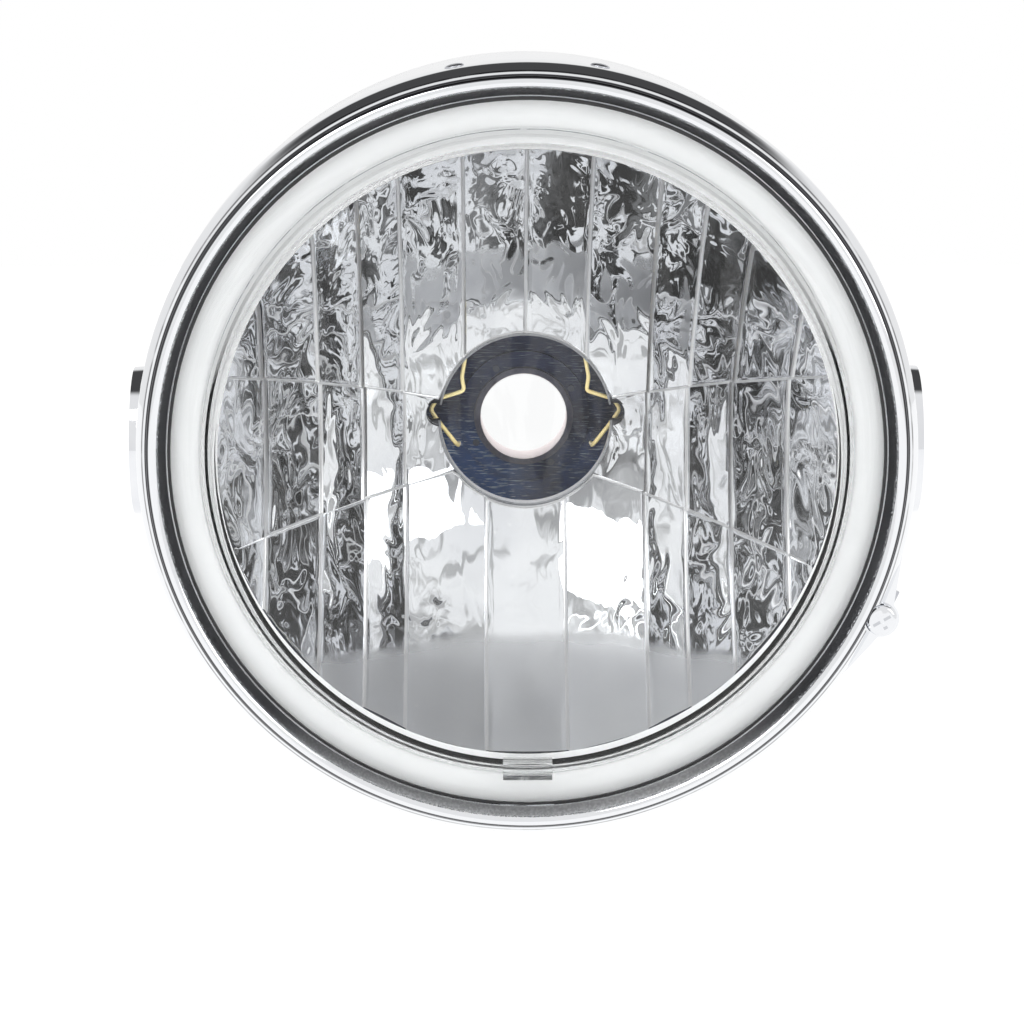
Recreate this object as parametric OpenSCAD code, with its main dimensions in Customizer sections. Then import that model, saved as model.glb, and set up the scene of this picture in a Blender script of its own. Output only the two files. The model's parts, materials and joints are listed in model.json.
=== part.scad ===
// Round motorcycle headlight with a clear lens, a facetted reflector, a chrome rim and a chrome shell.
// X is to the right, Y runs from the lens to the rear and Z is up.
// The origin is the centre of the bulb seat, on the lamp's axis.
// Depths are counted rearwards from the plane of the rim's lip.

/* [Lens] */
// Outside diameter of the glass
lens_d = 178; // [176:0.5:179]
// Thickness of the glass edge that the rim holds
lens_edge_t = 4; // [3:0.5:5]
// Thickness of the raised glass
lens_wall = 3.6; // [3:0.2:4.4]
// How far the foot of the raised step lies inside the glass edge
lens_foot_in = 10; // [8:0.5:12]
// How far the top of the raised step lies inside the glass edge
lens_face_in = 14; // [13.5:0.5:17]
// How far the top of the step stands ahead of the lip
lens_step_h = 4.5; // [2:0.5:6]
// Rise of the dome above the step
lens_dome_h = 9; // [5:0.5:14]
// Width of the moulded tab at the bottom of the glass
lens_tab_w = 12; // [8:1:20]
// Height of that tab
lens_tab_h = 5; // [3:0.5:8]

/* [Seal] */
// Thickness of the rubber channel round the glass
seal_t = 0.8; // [0.6:0.1:1]
// How far the rubber shows inside the lip
seal_show = 1.1; // [0.5:0.1:2]

/* [Rim] */
// Sheet thickness of the rim
rim_t = 1; // [0.8:0.1:1.2]
// How far the lip covers the glass edge
lip_cover = 2.2; // [1.5:0.1:3.5]
// Radius of the bead's section
bead_r = 1.5; // [1.3:0.1:1.8]
// How far the groove outside the bead lies outside the glass edge
groove_out = 2.8; // [2.6:0.1:3.4]
// How far the skirt stands outside the glass edge
skirt_out = 5.7; // [5.6:0.1:8]
// Depth of the skirt behind the lip
rim_depth = 14; // [12:1:18]

/* [Shell] */
// Sheet thickness of the shell
shell_t = 1.2; // [1:0.1:1.6]
// Gap between the shell and the rim's skirt
skirt_gap = 0.4; // [0.3:0.1:0.8]
// Depth at which the dome starts
shell_straight = 55; // [50:1:65]
// Depth of the rear face
shell_depth = 105; // [100:1:125]
// Diameter of the flat rear face
rear_flat_d = 60; // [56:1:80]

/* [Side fixings] */
// Depth of the fixing axis behind the lip
pad_depth = 34; // [34:1:40]
// How far the fixing axis lies below the lamp's axis
pad_drop = 1.9; // [0:0.1:5]
// Diameter of the flat pads
pad_d = 36.8; // [32:0.4:40]
// How far the flat pads stand out from the drum
pad_rise = 4.2; // [3.8:0.1:6]
// Drilled diameter of the threaded holes
fixing_d = 6.8; // [5:0.2:8.4]
// Depth of the threaded holes
fixing_depth = 11; // [8:1:14]

/* [Reflector] */
// How far the bowl's mouth lies inside the glass edge
mouth_in = 13.6; // [13:0.1:16]
// Depth of the bulb seat
seat_depth = 53.1; // [50:0.1:58]
// Wall of the bowl, measured along the axis
bowl_wall = 2.4; // [2:0.2:3]
// Flange thickness
flange_t = 1.5; // [1:0.1:2]
// Height of a facet's swell
facet_swell = 0.5; // [0.2:0.1:0.8]
// Rise from one facet to the next
facet_rise = 0.6; // [0.3:0.1:0.9]

/* [Bulb seat] */
// Diameter of the seat
seat_d = 43.2; // [42:0.1:44]
// Reach of the side notches from the axis
notch_reach = 25.5; // [24:0.1:26]
// Width of the side notches
notch_w = 4; // [3:0.1:5]
// Thickness of the holder plate
holder_t = 1.2; // [1:0.1:1.6]
// Diameter of the holder plate
holder_d = 62; // [60:1:66]

/* [Bulb spring] */
// Wire diameter
wire_d = 1.05; // [0.9:0.05:1.2]
// Height of the hinge above the axis
hinge_z = 27.5; // [27:0.1:28.5]
// Length of the finger tips
tip_len = 7; // [4:0.5:9]

/* [Rim screw] */
// Angle of the screw below the horizontal
screw_angle = 25.4; // [20:0.2:32]
// How far the screw's axis lies outside the skirt
screw_out = 0.7; // [0.5:0.1:1.5]
// Thread diameter
screw_d = 4; // [3:0.5:5]
// Head diameter
screw_head_d = 8; // [7:0.2:9]
// Outside radius of the lug
lug_r = 4.6; // [4.5:0.1:6]

/* [Wiring hole] */
// Diameter of the hole
wire_hole_d = 23; // [18:0.2:24]
// How far the hole lies below the axis
wire_hole_drop = 7.4; // [5:0.2:10]
// Length of the neck behind the shell
neck_len = 8; // [5:0.5:12]
// Wall of the neck
neck_t = 1.6; // [1:0.1:2]

/* [Hidden] */
$fn = 120;

chrome = [0.80, 0.82, 0.85];
steel = [0.62, 0.64, 0.68];
gold = [0.86, 0.74, 0.42];
clear_glass = [0.85, 0.93, 0.96, 0.35];

seat = 0.3;        // gap left where a loose piece seats on another
slip = 0.1;        // gap round a piece that is held in a hole
bond = 0.05;       // gap between glass and reflector
over = 0.5;        // how far a cut runs past what it cuts

face_y = -seat_depth;

// Radii
lens_r = lens_d / 2;
lip_r = lens_r - lip_cover;
groove_r = lens_r + groove_out;
rim_r = lens_r + skirt_out;
rim_inner_r = rim_r - rim_t;
screw_reach = rim_r + screw_out;
shell_r = rim_inner_r - skirt_gap;
shell_inner_r = shell_r - shell_t;
seal_r = lens_r + slip + seal_t;

// Depths of the stack that the rim holds
seal_front = rim_t;
lens_front = seal_front + seal_t;
lens_back = lens_front + lens_edge_t;
flange_front = lens_back + bond;
flange_back = flange_front + flange_t;
seal_back = flange_back + bond + seal_t;
shell_front = 7;

// A plane curve's corner moved sideways by t, and the closed outline of a sheet of that thickness
function unit(v) = v / norm(v);
function side(v) = [-v[1], v[0]];
function corner(p, i, t) =
    let (
        last = len(p) - 1,
        a = unit(i > 0 ? p[i] - p[i - 1] : p[1] - p[0]),
        b = unit(i < last ? p[i + 1] - p[i] : p[last] - p[last - 1])
    )
    p[i] + (side(a) + side(b)) * t / (1 + a * b);
function sheet(p, t) = concat(p, [for (i = [len(p) - 1:-1:0]) corner(p, i, t)]);
function arc(c, r, from, to, steps) =
    [for (i = [0:steps]) let (a = from + (to - from) * i / steps) c + r * [cos(a), sin(a)]];
function mix(a, b, u) = a + (b - a) * u;

// A section of radius and depth turned round the lamp's axis
module turned() {
    translate([0, face_y, 0]) rotate([-90, 0, 0]) rotate_extrude() children();
}

// The same section swept over a span of degrees centred on an angle, counted from +X towards +Z
module turned_part(angle, span) {
    translate([0, face_y, 0]) rotate([-90, 0, 0])
        rotate([0, 0, -angle - span / 2]) rotate_extrude(angle = span) children();
}

// A flat outline in X and Z, given thickness from one depth to another
module plate(from, to) {
    translate([0, face_y + from, 0]) rotate([90, 0, 0]) mirror([0, 0, 1])
        linear_extrude(to - from) children();
}

// A round bar along the lamp's axis
module bar(x, z, r, from, to) {
    translate([x, face_y + from, z]) rotate([-90, 0, 0]) cylinder(r = r, h = to - from);
}

// A round bar that points away from the lamp's axis
module spoke(angle, depth, r, from, to) {
    translate([0, face_y + depth, 0]) rotate([0, -angle, 0]) translate([from, 0, 0])
        rotate([0, 90, 0]) cylinder(r = r, h = to - from, $fn = 32);
}

// Shell: straight drum, domed rear and two pressed pads
dome_steps = 12;
dome_power = 2.3;
rear_r = rear_flat_d / 2;
shell_outline = concat(
    [[shell_r, shell_front], [shell_r, shell_straight]],
    [for (i = [1:dome_steps]) let (a = 90 * i / dome_steps) [
        rear_r + (shell_r - rear_r) * pow(cos(a), 2 / dome_power),
        shell_straight + (shell_depth - shell_straight) * pow(sin(a), 2 / dome_power)
    ]],
    [[0, shell_depth]]
);
shell_core = [for (i = [0:len(shell_outline) - 1]) corner(shell_outline, i, shell_t)];
pad_r = pad_d / 2;
pad_x = shell_r + pad_rise;
pad_flare = 1;
pad_bite = 7;
pad_root = shell_inner_r - pad_bite;
nut_r = 8;
nut_spigot_r = 6;
nut_len = fixing_depth + 2;
side_plate_r = pad_r - pad_flare - 2;
side_plate_t = 1.5;
hook_angle = 90;
hook_span_angle = 28;
hook_slot_depth = 16;
lug_slot_w = 13;
bracket_depth = rim_depth + 1;
bracket_t = 1.5;
bracket_len = 15;
bracket_w = 12;
bracket_inner_r = shell_inner_r - bracket_t - 0.6;

module pad_form(inset) {
    translate([pad_root, face_y + pad_depth, -pad_drop]) rotate([0, 90, 0])
        cylinder(r1 = pad_r + pad_flare - inset, r2 = pad_r - inset, h = pad_x - inset - pad_root);
}

module shell() {
    color(chrome) difference() {
        union() {
            turned() polygon(concat(shell_outline, [[0, shell_front]]));
            pad_form(0);
            mirror([1, 0, 0]) pad_form(0);
        }
        turned() polygon(concat(
            [[shell_inner_r, shell_front - over]],
            [for (i = [1:len(shell_core) - 1]) shell_core[i]],
            [[0, shell_front - over]]
        ));
        pad_form(shell_t);
        mirror([1, 0, 0]) pad_form(shell_t);
        translate([-pad_x - over, face_y + pad_depth, -pad_drop]) rotate([0, 90, 0])
            cylinder(r = nut_spigot_r + slip, h = 2 * (pad_x + over));
        bar(0, -wire_hole_drop, wire_hole_d / 2 + neck_t + slip, shell_depth - 3 * shell_t, shell_depth + over);
        turned_part(hook_angle, hook_span_angle + 3)
            translate([shell_inner_r - over, shell_front - over])
            square([shell_t + 2 * over, hook_slot_depth - shell_front + over]);
        rotate([0, screw_angle, 0]) translate([shell_inner_r - 3, face_y + shell_front - over, -lug_slot_w / 2])
            cube([shell_t + 6, screw_end + over - shell_front + over, lug_slot_w]);
        for (side_step = [-1, 1]) spoke(-screw_angle + side_step * bracket_rivet_angle,
            bracket_rivet_depth, rivet_r + slip, shell_inner_r - over, shell_r + over);
    }
}

// Rim: inward lip, rolled bead, groove, flare and skirt, with one lug for the screw
lug_depth = 3;
lug_fade_angle = 22;
lug_arc_angle = 72;
lug_bite = 0.3;
flare_depth = 3.6;
bead_depth = -1.9;
bead_c = [groove_r - bead_r, bead_depth];
bead_steps = 12;
groove_w = 0.9;
groove_depth = -1.2;
flare_round = 0.3;
rim_outline = concat(
    [[lip_r, 0]],
    arc(bead_c, bead_r, 180, 360, bead_steps),
    [
        [groove_r, groove_depth],
        [groove_r + groove_w, groove_depth],
        [rim_r - flare_round, flare_depth - 1.6],
        [rim_r, flare_depth],
        [rim_r, rim_depth]
    ]
);

// The lug's outline fades into the skirt on both sides
function lug_outline(skirt, r) =
    let (edge = skirt - lug_bite)
    concat(
        [[0, 0], edge * [cos(lug_fade_angle), -sin(lug_fade_angle)]],
        arc([screw_reach, 0], r, -lug_arc_angle, lug_arc_angle, 8),
        [edge * [cos(lug_fade_angle), sin(lug_fade_angle)]]
    );

// A pocket in the flare takes the screw's head
pocket_front = -1.25;
pocket_r = screw_head_d / 2 + 0.4;
pocket_t = 0.8;

module rim() {
    color(chrome) difference() {
        union() {
            turned() polygon(sheet(rim_outline, rim_t));
            rotate([0, screw_angle, 0]) difference() {
                plate(lug_depth, rim_depth) polygon(lug_outline(rim_r, lug_r));
                bar(0, 0, rim_inner_r - 0.1, lug_depth - over, rim_depth + over);
            }
            intersection() {
                rotate([0, screw_angle, 0])
                    bar(screw_reach, 0, pocket_r + pocket_t, pocket_front, lug_depth + rim_t);
                turned() polygon(concat(rim_outline, [[0, rim_depth], [0, 0]]));
            }
        }
        rotate([0, screw_angle, 0]) {
            bar(screw_reach, 0, pocket_r, pocket_front - 2 * over, lug_depth);
            plate(lug_depth + rim_t, rim_depth + over) polygon(lug_outline(rim_inner_r, lug_r - rim_t));
            bar(screw_reach, 0, screw_d / 2 + 2 * slip, lug_depth - over, lug_depth + rim_t + over);
        }
        for (a = hook_rivet_angles) spoke(a, hook_rivet_depth, rivet_r + slip, rim_inner_r - over, rim_r + over);
    }
}

// Screw that draws the rim to the shell, with its nut and the bracket on the shell
screw_head_h = 2.4;
head_edge = 0.8;
head_round = 1.2;
recess_reach = 2.4;
recess_w = 1;
recess_depth = 1.5;
recess_turn = 35;
nut_t = 3.2;
nut_w = 7;
screw_end = bracket_depth + bracket_t + nut_t + 2;
rivet_r = 1.5;
rivet_head_r = 2.6;
rivet_head_t = 0.8;
rivet_tail_r = 0.85 * rivet_head_r;
bracket_rivet_angle = 9;
bracket_rivet_depth = bracket_depth + bracket_len - 4;
bracket_span_angle = 26;

module at_screw() {
    rotate([0, screw_angle, 0]) translate([screw_reach, 0, 0]) children();
}

module rim_screw() {
    color(chrome) at_screw() difference() {
        union() {
            bar(0, 0, screw_d / 2, lug_depth - over, screw_end);
            translate([0, face_y, 0]) rotate([-90, 0, 0]) rotate_extrude()
                polygon(concat(
                    [[0, lug_depth]],
                    [[screw_head_d / 2, lug_depth]],
                    [for (a = [0:18:90]) [
                        screw_head_d / 2 - head_round * (1 - cos(a)),
                        lug_depth - head_edge - (screw_head_h - head_edge) * sin(a)
                    ]],
                    [[0, lug_depth - screw_head_h]]
                ));
        }
        for (a = [0, 90]) translate([0, face_y + lug_depth - screw_head_h - over, 0])
            rotate([0, recess_turn + a, 0]) translate([-recess_reach, 0, -recess_w / 2])
            cube([2 * recess_reach, recess_depth + over, recess_w]);
    }
}

module rim_screw_nut() {
    color(steel) at_screw() difference() {
        translate([-nut_w / 2, face_y + bracket_depth + bracket_t, -nut_w / 2]) cube([nut_w, nut_t, nut_w]);
        bar(0, 0, (screw_d + slip) / 2, bracket_depth, screw_end + over);
    }
}

module screw_bracket() {
    color(steel) difference() {
        union() {
            turned_part(-screw_angle, bracket_span_angle)
                translate([shell_inner_r - slip / 2 - bracket_t, bracket_depth])
                square([bracket_t, bracket_len]);
            rotate([0, screw_angle, 0])
                translate([bracket_inner_r, face_y + bracket_depth, -bracket_w / 2])
                cube([screw_reach + lug_r - rim_t - bracket_inner_r, bracket_t, bracket_w]);
        }
        at_screw() bar(0, 0, screw_d / 2 + 2 * slip, bracket_depth - over, bracket_depth + bracket_t + over);
        rotate([0, screw_angle, 0])
            translate([screw_reach - nut_w / 2 - seat, face_y + bracket_depth + bracket_t, -nut_w / 2 - seat])
            cube([nut_w + 3 * seat, nut_t + 2 * seat, nut_w + 2 * seat]);
        for (side_step = [-1, 1]) spoke(-screw_angle + side_step * bracket_rivet_angle,
            bracket_rivet_depth, rivet_r + slip, shell_inner_r - bracket_t - 1, shell_r);
    }
}

// A rivet through a pack of sheet: its head outside and its tail inside
module rivet(angle, depth, inside, outside) {
    spoke(angle, depth, rivet_r, inside, outside);
    spoke(angle, depth, rivet_head_r, outside, outside + rivet_head_t);
    spoke(angle, depth, rivet_tail_r, inside - rivet_head_t, inside);
}

module bracket_rivets() {
    color(steel) for (side_step = [-1, 1])
        rivet(-screw_angle + side_step * bracket_rivet_angle, bracket_rivet_depth,
            shell_inner_r - slip - bracket_t, shell_r + slip);
}

// Tongue riveted in the top of the rim, which hooks under the front edge of the shell
hook_t = 1.2;
hook_tongue_r = shell_inner_r - seat;
hook_end = 23;
hook_rivet_depth = 9;
hook_rivet_angle = 10.6;
hook_rivet_angles = [hook_angle - hook_rivet_angle, hook_angle + hook_rivet_angle];

module rim_hook() {
    color(steel) difference() {
        turned_part(hook_angle, hook_span_angle) polygon(sheet([
            [rim_inner_r - slip, flare_depth + 1.4],
            [rim_inner_r - slip, hook_slot_depth - 3],
            [hook_tongue_r, hook_slot_depth - 1],
            [hook_tongue_r, hook_end]
        ], hook_t));
        for (a = hook_rivet_angles)
            spoke(a, hook_rivet_depth, rivet_r + slip, rim_inner_r - hook_t - 1, rim_r);
    }
}

module hook_rivets() {
    color(steel) for (a = hook_rivet_angles)
        rivet(a, hook_rivet_depth, rim_inner_r - hook_t - 2 * slip, rim_r + slip / 2);
}

// Rubber channel round the glass and the reflector's flange
module lens_seal() {
    color([0.07, 0.07, 0.08]) turned() polygon([
        [lip_r - seal_show, seal_front],
        [seal_r, seal_front],
        [seal_r, seal_back],
        [lip_r, seal_back],
        [lip_r, flange_back + bond],
        [lens_r + slip, flange_back + bond],
        [lens_r + slip, lens_front],
        [lip_r - seal_show, lens_front]
    ]);
}

// Lens: flat edge, raised step and shallow dome in glass of one thickness, with a tab at the bottom
lens_foot_r = lens_r - lens_foot_in;
lens_face_r = lens_r - lens_face_in;
lens_steps = 14;
lens_curve_r = (lens_face_r * lens_face_r + lens_dome_h * lens_dome_h) / (2 * lens_dome_h);
function dome_depth(r) =
    lens_curve_r - sqrt(lens_curve_r * lens_curve_r - r * r) - lens_dome_h - lens_step_h;
lens_inner_r = lens_face_r - lens_wall;

module lens() {
    color(clear_glass) union() {
        turned() polygon(concat(
            [
                [lens_foot_r - lens_wall - 0.6, lens_back],
                [lens_r, lens_back],
                [lens_r, lens_front],
                [lens_foot_r + 0.8, lens_front],
                [lens_foot_r, lens_front - 0.5],
                [lens_face_r + 0.9, -lens_step_h + 0.7]
            ],
            [for (i = [lens_steps:-1:0]) let (r = lens_face_r * i / lens_steps) [r, dome_depth(r)]],
            [for (i = [0:lens_steps]) let (r = lens_inner_r * i / lens_steps) [r, dome_depth(r) + lens_wall]]
        ));
        translate([-lens_tab_w / 2, face_y - lens_step_h + 2, -lens_foot_r - 1])
            cube([lens_tab_w, lens_front + lens_step_h - 1.5, lens_tab_h]);
    }
}

// Reflector: a bowl in four fields of upright facets, each facet with its own swell and level
seat_r = seat_d / 2;
hole_r = seat_r + 0.55;
bottom_r = seat_r + 0.4;
open_r = lens_r - mouth_in;
focal = (open_r * open_r - bottom_r * bottom_r) / (4 * (seat_depth - flange_front));
bowl_vertex = bottom_r * bottom_r / (4 * focal);
field_r = open_r + 2.4;
flange_r = lens_r - slip;
boss_r = holder_d / 2;
boss_rise = 3.3;
boss_lip = 0.6;
field_overlap = 0.4;
facet_segments = 3;

// Where the facets meet, from the axis outwards, at the inner and outer border of each field
upper_lines = [0, 15.5, 31, 41, 51.6, 64.7, open_r];
upper_lean = [0, 0.5, 1.5, 2.5, 3, 2, 0];
lower_lines = [10, 30, 40, 51, 64, open_r];
side_lines = [15, 30.5, 40.5, 51, 64, open_r];

// Borders between the fields
function upper_border(x) = 0.25 * abs(x) + 0.3;
function lower_border(x) = -(x < 0 ? 0.20 : 0.27) * abs(x) - 9.6;
function round_border(x) = sqrt(field_r * field_r - x * x);
function bowl(x, z) = bowl_vertex - (x * x + z * z) / (4 * focal);

// Height of a facet's face above the bowl at a share u of its width
function level(i) = (i % 2 == 0 ? 0 : facet_rise) + (i % 3 == 0 ? 0.12 : 0);
function swell(i, u) = level(i) + facet_swell * (1 - pow(2 * u - 1, 2));

// One field: low and high are each facet line's end points, level_shift picks the facets' levels
module facet_field(low, high, rows, level_shift) {
    facets = len(low) - 1;
    stations = [for (i = [0:facets - 1], k = [0:facet_segments]) let (u = k / facet_segments)
        [mix(low[i], low[i + 1], u), mix(high[i], high[i + 1], u), swell(i + level_shift, u)]];
    count = len(stations);
    face = [for (s = stations, j = [0:rows]) let (p = mix(s[0], s[1], j / rows))
        [p[0], bowl(p[0], p[1]) - s[2], p[1]]];
    back = [for (p = face) [p[0], p[1] + bowl_wall + level(1), p[2]]];
    n = len(face);
    w = rows + 1;
    // Two triangles for each four-sided patch: a and b at one station, c and d at the next
    function patch(a, b, c, d) = [[a, b, d], [a, d, c]];
    columns = [0:count - 2];
    steps = [0:rows - 1];
    last = (count - 1) * w;
    polyhedron(concat(face, back), [
        for (i = columns, j = steps) each patch(i * w + j, i * w + j + 1, (i + 1) * w + j, (i + 1) * w + j + 1),
        for (i = columns, j = steps) each patch(n + (i + 1) * w + j, n + (i + 1) * w + j + 1,
            n + i * w + j, n + i * w + j + 1),
        for (i = columns) each patch(n + i * w, i * w, n + (i + 1) * w, (i + 1) * w),
        for (i = columns) each patch(i * w + rows, n + i * w + rows, (i + 1) * w + rows, n + (i + 1) * w + rows),
        for (j = steps) each patch(n + j, n + j + 1, j, j + 1),
        for (j = steps) each patch(last + j, last + j + 1, n + last + j, n + last + j + 1)
    ]);
}

function both_sides(lines) = concat(
    [for (i = [len(lines) - 1:-1:(lines[0] == 0 ? 1 : 0)]) -lines[i]],
    lines
);

module facets() {
    upper_low = both_sides(upper_lines);
    upper_high = concat(
        [for (i = [len(upper_lines) - 1:-1:1]) -upper_lines[i]],
        [for (i = [0:len(upper_lines) - 1]) upper_lines[i] + upper_lean[i]]
    );
    lower = both_sides(lower_lines);
    facet_field(
        [for (x = upper_low) [x, upper_border(x) - field_overlap]],
        [for (x = upper_high) [x, round_border(x)]],
        6, 1
    );
    facet_field(
        [for (x = lower) [x, -round_border(x)]],
        [for (x = lower) [x, lower_border(x) + field_overlap]],
        6, 0
    );
    for (s = [-1, 1]) {
        lines = s > 0 ? side_lines : [for (i = [len(side_lines) - 1:-1:0]) -side_lines[i]];
        facet_field(
            [for (x = lines) [x, lower_border(x)]],
            [for (x = lines) [x, upper_border(x)]],
            3, s > 0 ? 2 : 1
        );
    }
}

holder_front = seat_depth + bowl_wall;
holder_back = holder_front + holder_t;
notch_z = 1.8;
notch_root = seat_r - 4;
flange_key_angles = [0:60:300];
key_in = 8;
key_w = 8;
key_r = 1.5;
key_h = 2;

// Through hole of the seat with a rounded notch on each side
module seat_hole(grow, from, to) {
    rotate([0, 1.7, 0]) bar(0, 0, hole_r, from, to);
    for (s = [-1, 1]) hull() {
        bar(s * (seat_r - 2), notch_z, notch_w / 2 + grow, from, to, $fn = 24);
        bar(s * (notch_reach - notch_w / 2), notch_z, notch_w / 2 + grow, from, to, $fn = 24);
    }
}

module reflector() {
    $fn = 64;
    color([0.72, 0.74, 0.77]) difference() {
        intersection() {
            union() {
                facets();
                turned() polygon([
                    [open_r - field_overlap, flange_front - over],
                    [flange_r, flange_front - over],
                    [flange_r, flange_back],
                    [open_r - field_overlap, flange_back]
                ]);
                turned() polygon([
                    [0, seat_depth + boss_lip],
                    [hole_r + 2, seat_depth + boss_lip - 0.2],
                    [boss_r, seat_depth - boss_rise],
                    [boss_r, holder_front + over],
                    [0, holder_front + over]
                ]);
                for (a = flange_key_angles) rotate([0, -a, 0]) hull() for (s = [-1, 1])
                    bar(flange_r - key_in, s * key_w / 2, key_r, flange_back - over, flange_back + key_h, $fn = 16);
            }
            bar(0, 0, flange_r + over, flange_front, holder_front);
        }
        seat_hole(slip, seat_depth - 8, holder_back);
        for (p = holder_rivet_places) bar(p[0], p[1], rivet_r + slip, holder_front - 3, holder_front + over);
    }
}

// Holder plate behind the reflector: true seat, notches, hinge loops and catches
holder_rivet_places = [[22.2, 16], [-22.2, 16], [0, -27]];
hinge_depth = holder_back + 1.6;
loop_r = 1.7;
loop_x = 4;
loop_w = 3;
loop_bore_r = wire_d / 2 + seat;
catch_x = 23.6;
catch_z = -7;
catch_h = 3.6;
catch_w = 4;

module bulb_holder() {
    color(steel) difference() {
        union() {
            bar(0, 0, holder_d / 2, holder_front, holder_back);
            bar(0, 0, hole_r - 0.05, seat_depth - 0.2, holder_back);
            for (s = [-1, 1]) {
                translate([s * (loop_x + loop_w / 2) - loop_w / 2, face_y + hinge_depth, hinge_z])
                    rotate([0, 90, 0]) cylinder(r = loop_r, h = loop_w, $fn = 32);
                translate([s * (loop_x + loop_w / 2) - loop_w / 2, face_y + holder_back - 0.2, hinge_z - loop_r])
                    cube([loop_w, hinge_depth - holder_back + 0.2, 2 * loop_r]);
                translate([s * catch_x - (s < 0 ? holder_t : 0), face_y + holder_back - 0.2, catch_z])
                    cube([holder_t, catch_h, catch_w]);
            }
        }
        bar(0, 0, seat_r, seat_depth - 1, holder_back + over);
        for (s = [-1, 1]) {
            mirror([s < 0 ? 1 : 0, 0, 0])
                translate([notch_root, face_y + seat_depth - 1, notch_z - notch_w / 2])
                cube([notch_reach - notch_w / 2 - notch_root, holder_back - seat_depth + 1 + over, notch_w]);
            bar(s * (notch_reach - notch_w / 2), notch_z, notch_w / 2, seat_depth - 1, holder_back + over);
        }
        translate([-loop_x - loop_w - over, face_y + hinge_depth, hinge_z]) rotate([0, 90, 0])
            cylinder(r = loop_bore_r, h = 2 * (loop_x + loop_w + over), $fn = 32);
        for (p = holder_rivet_places)
            bar(p[0], p[1], rivet_r + slip, holder_front - over, holder_back + over);
    }
}

module holder_rivets() {
    color(steel) for (p = holder_rivet_places) {
        bar(p[0], p[1], rivet_r, holder_front - 2.2, holder_back + slip / 2);
        bar(p[0], p[1], rivet_head_r, holder_back + slip / 2, holder_back + slip / 2 + rivet_head_t);
    }
}

// Wire spring: it turns in the loops above the seat, and its arms cross the seat on both sides
hinge_y = face_y + hinge_depth;
spring_half = [
    [0, hinge_y, hinge_z],
    [9.5, hinge_y, hinge_z],
    [12.5, hinge_y, 25],
    [15.2, hinge_y, 15.8],
    [16.2, hinge_y, 10.1],
    [15.6, hinge_y, 6.6],
    [22.6, hinge_y, 4.4],
    [24.2, hinge_y, 1.7],
    [22.2, hinge_y, -1.3],
    [18, hinge_y, -6.7],
    [17.2, hinge_y + 1.5, -7.8],
    [17, hinge_y + tip_len, -8.2]
];
// Each corner of the path is cut at a quarter of its sides
function eased(p) = concat(
    [p[0]],
    [for (i = [1:len(p) - 2], k = [0, 1]) k == 0 ? mix(p[i], p[i - 1], 0.25) : mix(p[i], p[i + 1], 0.25)],
    [p[len(p) - 1]]
);

module bulb_spring() {
    route = eased(spring_half);
    color(gold) for (s = [0, 1]) mirror([s, 0, 0])
        for (i = [0:len(route) - 2]) hull() {
            translate(route[i]) sphere(d = wire_d, $fn = 8);
            translate(route[i + 1]) sphere(d = wire_d, $fn = 8);
        }
}

// Sprung clips that press the glass and the reflector against the lip
clip_t = 0.8;
clip_w = 11;
clip_count = 6;
clip_reach = groove_r + 0.4;
clip_section = sheet([
    [clip_reach - 0.2, rim_t * 0.6],
    [clip_reach - 0.8, 1.6],
    [clip_reach - 0.8, seal_back + 1.8],
    [lens_r - 0.4, seal_back + 2.4],
    [lens_r - 2, seal_back + clip_t + seat],
    [lip_r - 1, seal_back + clip_t + 1]
], clip_t);

module retaining_clips() {
    color(steel) for (i = [0:clip_count - 1]) rotate([0, -360 * i / clip_count, 0])
        translate([0, face_y, -clip_w / 2]) linear_extrude(clip_w) polygon(clip_section);
}

// Threaded bosses for the two fork bolts, each on its own backing plate
module side_plate(s) {
    color(steel) difference() {
        translate([s * (pad_x - shell_t - slip - side_plate_t / 2), face_y + pad_depth, -pad_drop])
            rotate([0, 90, 0])
            cylinder(r = side_plate_r, h = side_plate_t, center = true);
        translate([s * pad_x, face_y + pad_depth, -pad_drop]) rotate([0, 90, 0])
            cylinder(r = nut_spigot_r + slip, h = nut_len, center = true);
    }
}

module side_nut(s) {
    plate_back = pad_x - shell_t - 2 * slip - side_plate_t;
    color(steel) translate([0, face_y + pad_depth, -pad_drop]) mirror([s < 0 ? 1 : 0, 0, 0]) rotate([0, 90, 0])
        difference() {
            union() {
                translate([0, 0, pad_x - nut_len]) cylinder(r = nut_r, h = plate_back - pad_x + nut_len);
                translate([0, 0, plate_back - 1]) cylinder(r = nut_spigot_r, h = pad_x - plate_back + 1);
            }
            translate([0, 0, pad_x - fixing_depth]) cylinder(r = fixing_d / 2, h = fixing_depth + over);
        }
}

module side_plate_left() { side_plate(-1); }
module side_plate_right() { side_plate(1); }
module side_nut_left() { side_nut(-1); }
module side_nut_right() { side_nut(1); }

// Wiring hole: a collar welded in the rear wall, with a flange inside
ferrule_flange_r = 17.5;
ferrule_flange_t = 1;
ferrule_lip = 2.5;
weld_reach = 14.7;
weld_r = 0.9;
wall_front = shell_depth - shell_t;

module wiring_ferrule() {
    color(steel) translate([0, 0, -wire_hole_drop]) difference() {
        union() {
            bar(0, 0, wire_hole_d / 2 + neck_t, wall_front - ferrule_lip, shell_depth + neck_len);
            bar(0, 0, ferrule_flange_r, wall_front - slip - ferrule_flange_t, wall_front - slip);
            for (a = [30:90:300]) bar(weld_reach * cos(a), weld_reach * sin(a), weld_r,
                wall_front - slip - ferrule_flange_t - 0.3, wall_front - slip - over);
        }
        bar(0, 0, wire_hole_d / 2, wall_front - ferrule_lip - over, shell_depth + neck_len + over);
    }
}

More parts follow.
